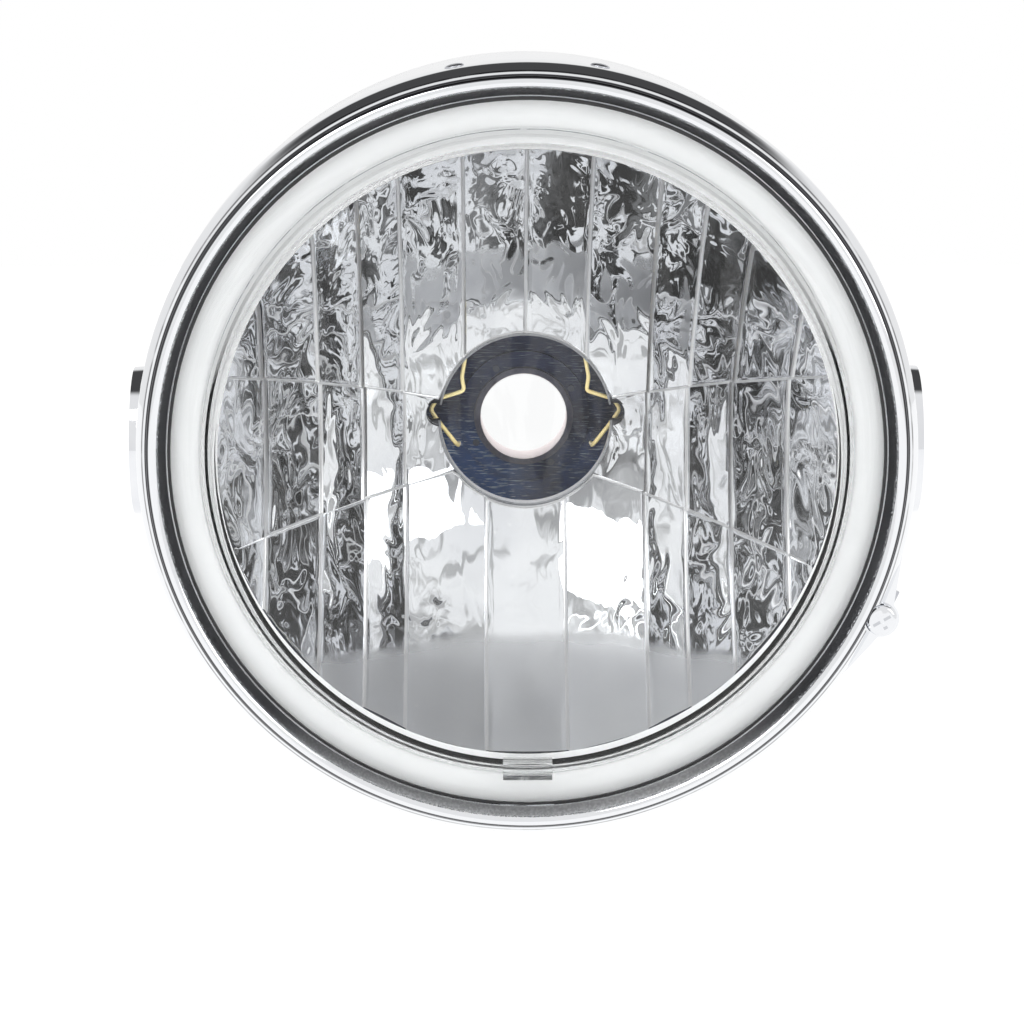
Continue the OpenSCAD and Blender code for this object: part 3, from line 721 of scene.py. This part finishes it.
class Facets:
    """The bowl's facets in millimetres, from the same rule as the solids"""

    def __init__(self):
        s = sizes()
        self.focal = s.focal / MM
        self.swell = s.facet_swell / MM
        self.step = s.facet_step / MM
        self.ridge_w = s.ridge_width / MM
        self.ridge_h = s.ridge_height / MM
        self.ripple = s.ripple / MM
        self.vertex = (SEAT_R + 0.4) ** 2 / (4 * self.focal)
        self.flange = FLANGE_Y / MM
        self.verts, self.faces, self.ridge = [], [], []

    def level(self, i):
        return (0 if i % 2 == 0 else self.step) + (THIRD_RISE if i % 3 == 0 else 0)

    def height(self, i, u):
        return self.level(i) + self.swell * (1 - (2 * u - 1) ** 2)

    def reach(self, h):
        """Radius at which a surface that stands h above the bowl meets the flange's plane"""
        return math.sqrt(4 * self.focal * (self.vertex - h - self.flange))

    def stations(self, lines, shift, columns):
        """Across a field: facet number, share of its width, x share between lines, height and ridge"""
        made = []
        half = self.ridge_w / 2
        last = len(lines) - 2
        for i in range(len(lines) - 1):
            width = lines[i + 1] - lines[i]
            start = half / width if i > 0 else 0.0
            end = 1 - half / width if i < last else 1.0
            for k in range(columns + 1):
                u = blend_of(start, end, k / columns)
                made.append((i, u, self.height(i + shift, u), 0.0))
            if i < last:
                here, there = made[-1][2], self.height(i + 1 + shift, half / (lines[i + 2] - lines[i + 1]))
                for q in (0.2, 0.4, 0.6, 0.8):
                    across = 1 - half / width + q * self.ridge_w / width
                    top = blend_of(here, there, q) + self.ridge_h * math.sin(math.pi * q)
                    made.append((i, across, top, 1.0))
        return made

    def field(self, low_lines, high_lines, shift, low_at, high_at, columns, rows, hole, edges=(0, 0)):
        """One field as a closed solid: low_at and high_at give its borders' height at x"""
        grid, marks = [], []
        stations = self.stations(low_lines, shift, columns)
        for i, u, h, ridge in stations:
            if u <= 1:
                xl = blend_of(low_lines[i], low_lines[i + 1], u)
                xh = blend_of(high_lines[i], high_lines[i + 1], u)
            else:
                over = (u - 1) * (low_lines[i + 1] - low_lines[i])
                xl, xh = low_lines[i + 1] + over, high_lines[i + 1] + over
            reach = self.reach(h)
            a, b = (xl, low_at(xl)), (xh, high_at(xh))
            t0, t1 = self.trim(a, b, reach, hole == "round")
            length = max(math.dist(a, b) * (t1 - t0), 1e-6)
            shares = self.row_shares(rows, length, edges)
            column, column_marks = [], []
            for v, border in shares:
                t = blend_of(t0, t1, v)
                x, z = blend_of(a[0], b[0], t), blend_of(a[1], b[1], t)
                top = h + border * self.ridge_h * 0.8
                if hole == "ear" and i == (0 if low_lines[0] > 0 else len(low_lines) - 2):
                    x, top = self.beside_hole(x, z, low_lines, shift, top, i, u, ridge)
                wave = self.ripple * (noise.noise(Vector((x / 9, z / 13, 3.1)))
                                      + 0.45 * noise.noise(Vector((x / 4.2, z / 6, 8.7)))) * (1 - ridge)
                y = max(self.vertex - (x * x + z * z) / (4 * self.focal) - top - wave, self.flange + 0.01)
                column.append((x, y, z))
                column_marks.append(max(ridge, border))
            grid.append(column)
            marks.append(column_marks)
        self.close(grid, marks)

    def beside_hole(self, x, z, lines, shift, top, i, u, ridge):
        """Moves a point of the facet beside the hole so that its first line follows the hole's edge"""
        sign = 1 if lines[0] > 0 else -1
        inner, outer = (lines[0], lines[1]) if sign > 0 else (-lines[-1], -lines[-2])
        share = (abs(x) - inner) / (outer - inner)
        if share >= 1:
            return x, top
        moved = blend_of(hole_edge(z), outer, max(share, 0))
        across = (moved - inner) / (outer - inner)
        local = across if sign > 0 else 1 - across
        if not ridge:
            top += self.height(i + shift, local) - self.height(i + shift, u)
        return sign * moved, top

    def trim(self, a, b, reach, hole):
        """Shares of the line from a to b that lie outside the hole and inside the bowl's rim"""
        ax, az = a
        dx, dz = b[0] - ax, b[1] - az
        def crossings(radius):
            p, q, r = dx * dx + dz * dz, ax * dx + az * dz, ax * ax + az * az - radius * radius
            root = q * q - p * r
            if root <= 0:
                return None
            root = math.sqrt(root)
            return (-q - root) / p, (-q + root) / p
        t0, t1 = 0.0, 1.0
        rim = crossings(reach)
        if rim:
            t0, t1 = max(t0, rim[0]), min(t1, rim[1])
        if hole:
            gap = crossings(HOLE_R)
            if gap and gap[0] < 1 and gap[1] > 0:
                if abs(az) < abs(b[1]):
                    t0 = max(t0, gap[1])
                else:
                    t1 = min(t1, gap[0])
        return t0, max(t1, t0 + 1e-4)

    def row_shares(self, rows, length, edges):
        """Shares along a column, closer at a ridged border; each with its ridge height"""
        made = []
        strip = min(0.8 / length, 0.2)
        start = strip if edges[0] else 0.0
        end = 1 - strip if edges[1] else 1.0
        if edges[0]:
            made += [(0.0, 0.4), (strip * 0.35, 1.0), (strip * 0.7, 0.7)]
        made += [(blend_of(start, end, j / rows), 0.0) for j in range(rows + 1)]
        if edges[1]:
            made += [(1 - strip * 0.7, 0.7), (1 - strip * 0.35, 1.0), (1.0, 0.4)]
        return made

    def close(self, grid, marks):
        """Adds the grid as a front face, with a back face and walls"""
        base = len(self.verts)
        cols, rows = len(grid), len(grid[0])
        n = cols * rows
        for column in grid:
            self.verts += column
        for column in grid:
            self.verts += [(x, y + BOWL_WALL, z) for x, y, z in column]
        for column in marks:
            self.ridge += column
        self.ridge += [0.0] * n
        def at(i, j, back=0):
            return base + back * n + i * rows + j
        for i in range(cols - 1):
            for j in range(rows - 1):
                self.faces.append((at(i, j), at(i + 1, j), at(i + 1, j + 1), at(i, j + 1)))
                self.faces.append((at(i, j, 1), at(i, j + 1, 1), at(i + 1, j + 1, 1), at(i + 1, j, 1)))
        for i in range(cols - 1):
            self.faces.append((at(i, 0), at(i, 0, 1), at(i + 1, 0, 1), at(i + 1, 0)))
            end = rows - 1
            self.faces.append((at(i, end), at(i + 1, end), at(i + 1, end, 1), at(i, end, 1)))
        for j in range(rows - 1):
            self.faces.append((at(0, j), at(0, j + 1), at(0, j + 1, 1), at(0, j, 1)))
            end = cols - 1
            self.faces.append((at(end, j), at(end, j, 1), at(end, j + 1, 1), at(end, j + 1)))


def mirrored(lines, end_left, end_right):
    """Facet lines on both sides of the middle"""
    right = list(lines) + [end_right]
    left = [-x for x in reversed(list(lines[1:] if lines[0] == 0 else lines) + [end_left])]
    return left + right


def facet_mesh():
    facets = Facets()
    rim = facets.reach(facets.step)
    up_end, low_left, low_right = (
        border_end(border, sign, rim) - FIELD_GAP
        for border, sign in ((upper_border, 1), (lower_border, -1), (lower_border, 1)))
    upper = mirrored(UPPER_LINES, up_end, up_end)
    lower = mirrored(LOWER_LINES, low_left, low_right)
    lean = [0.0] * (len(upper) - len(UPPER_LINES) - 1) + UPPER_LEAN
    upper_top = [x + d for x, d in zip(upper, lean)]

    def circle(x):
        return math.sqrt(max(FIELD_R ** 2 - x * x, 0))

    facets.field(upper, upper_top, 1, lambda x: upper_border(x) - FIELD_OVERLAP, circle,
                 12, 64, "round", (1, 0))
    facets.field(lower, lower, 0, lambda x: -circle(x), lambda x: lower_border(x) + FIELD_OVERLAP,
                 14, 60, "round", (0, 1))
    right = SIDE_LINES + [facets.reach(facets.step + THIRD_RISE) - 3 * FIELD_GAP]
    left = [-x for x in reversed(right)]
    for lines, shift in ((left, 1), (right, 2)):
        facets.field(lines, lines, shift, lower_border, upper_border, 14, 44, "ear")
    return facets


def reflector_mesh():
    """Facets, the flat flange behind the glass edge and the boss round the seat"""
    facets = facet_mesh()
    verts = [Vector(v) * MM for v in facets.verts]
    faces = list(facets.faces)
    kinds = [0] * len(faces)
    ridge = list(facets.ridge)
    turns = 480
    back = FLANGE_Y + 1.5 * MM
    rim = facets.reach(0) * MM
    out = LENS_R - 0.1 * MM
    flange = [(rim - 0.25 * MM, FLANGE_Y), (out, FLANGE_Y), (out, back), (rim + 0.6 * MM, back)]
    boss_r, boss_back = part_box("bulb_holder")[1].x, BOWL_WALL * MM
    boss = [((HOLE_R + 0.02) * MM, 1.2 * MM), (boss_r, -0.6 * MM), (boss_r, boss_back),
            ((HOLE_R + 0.02) * MM, boss_back)]
    for outline, kind in ((flange, 1), (boss, 0)):
        more, loops = revolve(outline, turns)
        if outline is boss:
            for i, (x, y, z) in enumerate(more):
                if math.hypot(x, z) < (HOLE_R + 0.1) * MM:
                    angle = math.atan2(z, x)
                    edge = (hole_radius(angle) + 0.02) * MM
                    more[i] = (edge * math.cos(angle), y, edge * math.sin(angle))
        base = len(verts)
        verts += more
        faces += [tuple(base + i for i in loop) for loop in loops]
        kinds += [kind] * len(loops)
        ridge += [0.0] * len(more)
    mesh = bpy.data.meshes.new("reflector")
    mesh.from_pydata([tuple(v) for v in verts], [], faces)
    mesh.polygons.foreach_set("material_index", kinds)
    mark = mesh.attributes.new("ridge", "FLOAT", "POINT")
    mark.data.foreach_set("value", ridge)
    return cleaned(mesh)


# Geometry node helpers

def geometry_tree(name, inputs):
    """An empty geometry tree with a geometry input, named inputs and a material"""
    tree = bpy.data.node_groups.new(name, "GeometryNodeTree")
    tree.interface.new_socket("Geometry", in_out="INPUT", socket_type="NodeSocketGeometry")
    for label, kind, value in inputs:
        made = tree.interface.new_socket(label, in_out="INPUT", socket_type=kind)
        made.default_value = value
    tree.interface.new_socket("Material", in_out="INPUT", socket_type="NodeSocketMaterial")
    tree.interface.new_socket("Geometry", in_out="OUTPUT", socket_type="NodeSocketGeometry")
    return tree, tree.nodes.new("NodeGroupInput").outputs, tree.nodes.new("NodeGroupOutput")


def grown(name, start, tree, values):
    """Runs a geometry tree on a start object and returns the result as a plain mesh object"""
    modifier = start.modifiers.new("build", "NODES")
    modifier.node_group = tree
    for item in tree.interface.items_tree:
        if item.in_out == "INPUT" and item.name in values:
            modifier[item.identifier] = values[item.name]
    graph = bpy.context.evaluated_depsgraph_get()
    result = start.evaluated_get(graph)
    mesh = bpy.data.meshes.new_from_object(result, preserve_all_data_layers=True, depsgraph=graph)
    start.modifiers.remove(modifier)
    bpy.data.objects.remove(start)
    mesh.name = name
    return new_object(name, mesh, [], 40)


def finish_tree(tree, end, geometry, material):
    """Realize Instances and Set Material at a tree's end"""
    real = add(tree, "GeometryNodeRealizeInstances", Geometry=geometry)
    paint = add(tree, "GeometryNodeSetMaterial", Geometry=real.outputs[0], Material=material)
    join(tree, paint.outputs[0], end.inputs[0])
    return tree


def rounded_path(path, longest):
    """A path with its corners rounded over part of the stretches beside them"""
    steps = 5
    rounded = [path[0]]
    for before, here, after in zip(path, path[1:], path[2:]):
        cut = min((here - before).length, (after - here).length, longest) * 0.3
        a, b = here + (before - here).normalized() * cut, here + (after - here).normalized() * cut
        for k in range(steps + 1):
            u = k / steps
            rounded.append(a * (1 - u) ** 2 + here * 2 * u * (1 - u) + b * u * u)
    return rounded + [path[-1]]


def wire_tree():
    """Sweeps a round wire along the start curve"""
    tree, start, end = geometry_tree("Spring wire", [
        ("Wire radius", "NodeSocketFloat", 0.5 * MM), ("Sides", "NodeSocketInt", 16)])
    circle = add(tree, "GeometryNodeCurvePrimitiveCircle", Resolution=start["Sides"])
    join(tree, start["Wire radius"], circle.inputs["Radius"])
    sweep = add(tree, "GeometryNodeCurveToMesh", Curve=start["Geometry"], Fill_Caps=True,
                Profile_Curve=circle.outputs["Curve"])
    return finish_tree(tree, end, sweep.outputs["Mesh"], start["Material"])


def rivet_tree():
    """Sets a domed rivet on each point, along its axis attribute"""
    tree, start, end = geometry_tree("Rivets", [
        (label, "NodeSocketFloat", size * MM) for label, size in (
            ("Head radius", 2.6), ("Head height", 0.9), ("Shank radius", 1.5), ("Grip", 4.0))])
    head = add(tree, "GeometryNodeMeshUVSphere", Segments=32, Rings=16, Radius=1.0)
    shape = add(tree, "ShaderNodeCombineXYZ", X=start["Head radius"], Y=start["Head radius"],
                Z=start["Head height"])
    squeeze = add(tree, "GeometryNodeTransform", Geometry=head.outputs["Mesh"], Scale=shape.outputs[0])
    shank = add(tree, "GeometryNodeMeshCylinder", Vertices=24, Radius=start["Shank radius"],
                Depth=start["Grip"])
    drop = add(tree, "ShaderNodeCombineXYZ", Z=times(tree, start["Grip"], -0.5))
    lower = add(tree, "GeometryNodeTransform", Geometry=shank.outputs["Mesh"], Translation=drop.outputs[0])
    both = tree.nodes.new("GeometryNodeJoinGeometry")
    join(tree, squeeze.outputs[0], both.inputs[0])
    join(tree, lower.outputs[0], both.inputs[0])
    axis = add(tree, "GeometryNodeInputNamedAttribute", Name="axis")
    axis.data_type = "FLOAT_VECTOR"
    turn = add(tree, "FunctionNodeAlignRotationToVector", Vector=axis.outputs[0])
    spots = add(tree, "GeometryNodeInstanceOnPoints", Points=start["Geometry"], Instance=both.outputs[0],
                Rotation=turn.outputs[0])
    return finish_tree(tree, end, spots.outputs[0], start["Material"])


def rivets(node_name, places, axes, head_radius, head_height, grip):
    """Rivets at places along axes, sizes in millimetres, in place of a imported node"""
    name = node_name[:-1] + "_heads"
    mesh = bpy.data.meshes.new(name + "_points")
    mesh.from_pydata([tuple(p) for p in places], [], [])
    mark = mesh.attributes.new("axis", "FLOAT_VECTOR", "POINT")
    mark.data.foreach_set("vector", [c for a in axes for c in a])
    tree = bpy.data.node_groups.get("Rivets") or rivet_tree()
    obj = grown(name, linked(name + "_points", mesh), tree, {
        "Head radius": head_radius * MM, "Head height": head_height * MM, "Shank radius": 1.5 * MM,
        "Grip": grip * MM, "Material": named("zinc_plate", zinc_finish)})
    return seated(obj, "plated_steel", "lamp", node_name)


# Operators

class HEADLIGHT_OT_shell(bpy.types.Operator):
    """Chromes the shell outside and paints its inside blue-black as shade"""
    bl_idname = "headlight.shell"
    bl_label = "Shell"

    def execute(self, context):
        middle = Vector((0, LIP_Y + 40 * MM, 0))
        materials = [named("bright_chrome", chrome_finish), named("inner_steel_painted_dark", inner_steel_finish)]
        dressed("shell", "chrome_shell", materials, "chrome_shell",
                inner=lambda poly: poly.normal.dot(poly.center - middle) < 0)
        return {"FINISHED"}


class HEADLIGHT_OT_rim(bpy.types.Operator):
    """Chromes the rim with its grainy inner band"""
    bl_idname = "headlight.rim"
    bl_label = "Rim"

    def execute(self, context):
        dressed("rim", "chrome_rim", [named("rim_chrome", rim_finish)], "chrome_rim")
        return {"FINISHED"}


class HEADLIGHT_OT_glass(bpy.types.Operator):
    """Moulds the lens and its tab, and lays the rubber seal"""
    bl_idname = "headlight.glass"
    bl_label = "Glass"

    def execute(self, context):
        glass = named("clear_glass", glass_finish)
        lens = new_object("clear_lens", lens_mesh(), [glass], 30)
        seated(lens, "lens_glass", "lamp", "lens")
        tab = new_object("lens_tab", tab_mesh(), [glass], 20)
        seated(tab, "lens_glass", "lamp")
        seal = dressed("lens_seal", "rubber_seal", [named("black_rubber", rubber_finish)], "seal_rubber")
        for vert in seal.data.vertices:
            flat = Vector((vert.co.x, 0, vert.co.z))
            if flat.length < sizes().seal_inner:
                flat = flat.normalized() * sizes().seal_inner + Vector((0, 0, -sizes().seal_sag))
                vert.co.x, vert.co.z = flat.x, flat.z
        return {"FINISHED"}


class HEADLIGHT_OT_reflector(bpy.types.Operator):
    """Builds the aluminised bowl with its four fields of facets"""
    bl_idname = "headlight.reflector"
    bl_label = "Reflector"

    def execute(self, context):
        materials = [named("aluminised_mirror", mirror_finish), named("flange_satin", flange_finish)]
        bowl = new_object("facetted_bowl", reflector_mesh(), materials, 30)
        seated(bowl, "reflector_mirror", "lamp", "reflector")
        return {"FINISHED"}


class HEADLIGHT_OT_spring_clip(bpy.types.Operator):
    """Bends the yellow wire spring from its hinge to its tips"""
    bl_idname = "headlight.spring_clip"
    bl_label = "Spring Clip"

    def execute(self, context):
        hinge = Vector(frame["joints"][0]["pos_m"])
        half = [(0, 0, 0), (9.5, 0, 0), (12.5, 0, -2.5), (15.2, 0, -11.7), (16.2, 0, -17.4),
                (15.6, 0, -20.9), (22.6, 0, -23.1), (24.2, 0, -25.8), (22.2, 0, -28.8), (18, 0, -34.2),
                (17.2, 1.5, -35.3), (17, 7, -35.7)]
        right = [hinge + Vector(p) * MM for p in half]
        left = [Vector((-p.x, p.y, p.z)) for p in reversed(right[1:])]
        rounded = rounded_path(left + right, 6 * MM)
        curve = bpy.data.curves.new("wire_path", "CURVE")
        curve.dimensions = "3D"
        spline = curve.splines.new("POLY")
        spline.points.add(len(rounded) - 1)
        for point, place in zip(spline.points, rounded):
            point.co = (*place, 1)
        obj = grown("wire_spring", linked("wire_path", curve), wire_tree(), {
            "Wire radius": sizes().wire_radius, "Sides": 16,
            "Material": named("yellow_wire", wire_finish)})
        seated(obj, "spring_wire", "spring_clip", "bulb_spring")
        return {"FINISHED"}


class HEADLIGHT_OT_rivets(bpy.types.Operator):
    """Sets the rivets of the hook, the bracket and the holder plate"""
    bl_idname = "headlight.rivets"
    bl_label = "Rivets"

    def execute(self, context):
        beside_screw = (SCREW_ANGLE - 9, SCREW_ANGLE + 9)
        for node_name, angles, radius, behind_lip, head, height, grip in (
                ("hook_rivets", (79.4, 100.6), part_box("rim")[1].z + 0.02 * MM, 9, 2.4, 0.7, 3.0),
                ("bracket_rivets", beside_screw, SHELL_R + 0.1 * MM, 26, 2.6, 0.8, 3.9)):
            axes = [Vector((math.cos(math.radians(a)), 0, math.sin(math.radians(a)))) for a in angles]
            places = [axis * radius + Vector((0, LIP_Y + behind_lip * MM, 0)) for axis in axes]
            rivets(node_name, places, axes, head, height, grip)
        back = BOWL_WALL + 1.25
        places = [Vector((x, back, z)) * MM for x, z in ((22.2, 16), (-22.2, 16), (0, -27))]
        rivets("holder_rivets", places, [Vector((0, 1, 0))] * 3, 2.6, 0.8, 3.4)
        return {"FINISHED"}


class HEADLIGHT_OT_fittings(bpy.types.Operator):
    """Finishes the screw, the holder plate and the small fittings"""
    bl_idname = "headlight.fittings"
    bl_label = "Fittings"

    def execute(self, context):
        chrome = named("bright_chrome", chrome_finish)
        zinc = named("zinc_plate", zinc_finish)
        holder = named("holder_zinc", holder_finish)
        spring = named("sprung_steel", spring_steel_finish)
        ferrule = named("welded_steel", ferrule_finish)
        for node_name, name, material, slot in (
                ("rim_screw", "rim_screw_chrome", chrome, "chrome_screw"),
                ("bulb_holder", "holder_plate", holder, "plated_steel"),
                ("wiring_ferrule", "welded_ferrule", ferrule, "ferrule_steel"),
                ("retaining_clips", "lens_clips", spring, "spring_steel"),
                ("rim_hook", "rim_hook_tongue", zinc, "plated_steel"),
                ("screw_bracket", "bracket_plate", zinc, "plated_steel"),
                ("rim_screw_nut", "square_nut", zinc, "plated_steel"),
                ("side_plate_left", "left_backing_plate", zinc, "plated_steel"),
                ("side_plate_right", "right_backing_plate", zinc, "plated_steel"),
                ("side_nut_left", "left_fork_nut", zinc, "plated_steel"),
                ("side_nut_right", "right_fork_nut", zinc, "plated_steel")):
            dressed(node_name, name, [material], slot, sharp=32)
        return {"FINISHED"}


class HEADLIGHT_OT_studio(bpy.types.Operator):
    """Sets up the camera, the floor and the soft light"""
    bl_idname = "headlight.studio"
    bl_label = "Studio"

    def execute(self, context):
        scene = context.scene
        studio = scene.headlight_studio
        scene.view_settings.view_transform = "Standard"
        self.camera(scene, studio)
        self.world(scene, studio)
        self.floor(studio)
        self.lights()
        return {"FINISHED"}

    def camera(self, scene, studio):
        data = bpy.data.cameras.new("camera")
        camera = linked("camera", data)
        away = Vector((math.sin(studio.azimuth) * math.cos(studio.elevation),
                       -math.cos(studio.azimuth) * math.cos(studio.elevation), math.sin(studio.elevation)))
        camera.location = Vector((0, LIP_Y, 0)) + away * studio.distance
        camera.rotation_euler = (-away).to_track_quat("-Z", "Y").to_euler()
        data.sensor_width = 36.0
        data.lens = data.sensor_width * studio.distance / studio.width_seen
        picture, lip_x, lip_y = 1024, 527.6, 456.5
        data.shift_x = (picture / 2 - lip_x) / picture
        data.shift_y = (lip_y - picture / 2) / picture
        data.clip_start = 0.01
        scene.camera = camera

    def world(self, scene, studio):
        world = bpy.data.worlds.new("studio")
        scene.world = world
        world.use_nodes = True
        world.cycles.sampling_method = "NONE"
        tree = world.node_tree
        tree.nodes.clear()
        place = tree.nodes.new("ShaderNodeTexCoord").outputs["Generated"]
        path = tree.nodes.new("ShaderNodeLightPath").outputs
        seen = colour_mix(tree, path["Is Transmission Ray"], self.room(tree, place),
                          self.bowl_view(tree, place))
        spectral = maths(tree, "MAXIMUM", path["Is Glossy Ray"], path["Is Transmission Ray"])
        direct = maths(tree, "LESS_THAN", path["Diffuse Depth"], 0.5)
        plain = colour_mix(tree, direct, even(studio.bounce_level), even(studio.level))
        colour = colour_mix(tree, times(tree, spectral, direct), plain, seen)
        colour = colour_mix(tree, path["Is Camera Ray"], colour, even(1.0))
        light = add(tree, "ShaderNodeBackground", Color=colour)
        add(tree, "ShaderNodeOutputWorld", Surface=light.outputs[0])

    def room(self, tree, place):
        """What chrome sees: a white room with a dark strip of ceiling behind the lamp"""
        x, y, z = split_place(tree, place)
        ceiling = times(tree, spread(tree, z, 0.36, 0.56), spread(tree, y, -0.12, 0.08),
                        fall(tree, maths(tree, "ABSOLUTE", x), 0.50, 0.80))
        return colour_mix(tree, ceiling, even(0.93), (0.07, 0.07, 0.072))

    def bowl_view(self, tree, place):
        """What the bowl sees: the marbled front of the room, a grey floor, white above and far below"""
        _, y, z = split_place(tree, place)
        tall = vector_maths(tree, "MULTIPLY", place, (1.5, 1.0, 0.35)).outputs[0]
        cloud = add(tree, "ShaderNodeTexNoise", Vector=tall, Scale=4.5, Detail=3.0, Distortion=0.8)
        fine = add(tree, "ShaderNodeTexNoise", Vector=tall, Scale=8.0, Detail=2.0, Distortion=1.8)

        def cloudy(low, high, dark, pale):
            return colour_mix(tree, spread(tree, cloud.outputs["Fac"], low, high), even(dark), even(pale))

        veins = spread(tree, fine.outputs["Fac"], 0.495, 0.54)
        marble = colour_mix(tree, times(tree, veins, 0.95), cloudy(0.45, 0.56, 0.016, 0.20), even(1.0))
        view = colour_mix(tree, spread(tree, z, -0.24, -0.30), marble, cloudy(0.40, 0.60, 0.58, 0.95))
        view = colour_mix(tree, spread(tree, z, -0.44, -0.52), view, even(0.97))
        view = colour_mix(tree, spread(tree, z, 0.20, 0.28), view, cloudy(0.42, 0.56, 0.38, 0.97))
        view = colour_mix(tree, spread(tree, y, -0.80, -0.62), view, cloudy(0.38, 0.50, 0.50, 1.0))
        return colour_mix(tree, spread(tree, y, 0.0, 0.2), view, even(1.0))

    def floor(self, studio):
        """A white floor that the bowl's rays pass through, to the room's lower half"""
        half, height = 3.0, -studio.floor_drop
        mesh = bpy.data.meshes.new("floor")
        corners = ((-half, -half), (half, -half), (half, half), (-half, half))
        mesh.from_pydata([(x, y, height) for x, y in corners], [], [(0, 1, 2, 3)])
        material, tree, shader = new_material("floor_paper", even(0.9), 0.0, 0.9)
        path = tree.nodes.new("ShaderNodeLightPath").outputs
        glow = add(tree, "ShaderNodeEmission", Color=(1, 1, 1, 1), Strength=1.0)
        clear = tree.nodes.new("ShaderNodeBsdfTransparent")
        seen = times(tree, maths(tree, "MAXIMUM", path["Is Camera Ray"], path["Is Glossy Ray"]), 0.9)
        surface = shader
        for share, other in ((seen, glow), (path["Is Transmission Ray"], clear)):
            mix = add(tree, "ShaderNodeMixShader", Fac=share)
            join(tree, surface.outputs[0], mix.inputs[1])
            join(tree, other.outputs[0], mix.inputs[2])
            surface = mix
        join(tree, surface.outputs[0], tree.nodes["Material Output"].inputs["Surface"])
        mesh.materials.append(material)
        linked("floor", mesh)

    def lights(self):
        for name, place, size, power in (("key", (-0.9, -1.1, 1.3), 0.9, 9.0),
                                         ("fill", (1.2, -0.9, 0.6), 0.8, 4.0)):
            data = bpy.data.lights.new(name, "AREA")
            data.size = size
            data.energy = power
            light = linked(name, data)
            light.location = place
            light.rotation_euler = (-Vector(place)).to_track_quat("-Z", "Y").to_euler()


class HEADLIGHT_PT_panel(bpy.types.Panel):
    """Headlight panel in the 3D view's sidebar"""
    bl_idname = "HEADLIGHT_PT_panel"
    bl_label = "Headlight"
    bl_space_type = "VIEW_3D"
    bl_region_type = "UI"
    bl_category = "Headlight"

    def draw(self, context):
        layout = self.layout
        for operator in OPERATORS:
            layout.operator(operator.bl_idname)
        for group in (context.scene.headlight_sizes, context.scene.headlight_finish,
                      context.scene.headlight_studio):
            box = layout.box()
            for key in group.__annotations__:
                box.prop(group, key)


GROUPS = (HeadlightSizes, HeadlightFinish, HeadlightStudio)
OPERATORS = (HEADLIGHT_OT_shell, HEADLIGHT_OT_rim, HEADLIGHT_OT_glass, HEADLIGHT_OT_reflector,
             HEADLIGHT_OT_spring_clip, HEADLIGHT_OT_rivets, HEADLIGHT_OT_fittings, HEADLIGHT_OT_studio)
CLASSES = GROUPS + OPERATORS + (HEADLIGHT_PT_panel,)


def register():
    for item in CLASSES:
        bpy.utils.register_class(item)
    bpy.types.Scene.headlight_sizes = PointerProperty(type=HeadlightSizes)
    bpy.types.Scene.headlight_finish = PointerProperty(type=HeadlightFinish)
    bpy.types.Scene.headlight_studio = PointerProperty(type=HeadlightStudio)


def unregister():
    for key in ("headlight_sizes", "headlight_finish", "headlight_studio"):
        delattr(bpy.types.Scene, key)
    for item in reversed(CLASSES):
        bpy.utils.unregister_class(item)


def main():
    register()
    for operator in OPERATORS:
        group, name = operator.bl_idname.split(".")
        getattr(getattr(bpy.ops, group), name)()


if __name__ == "__main__":
    main()
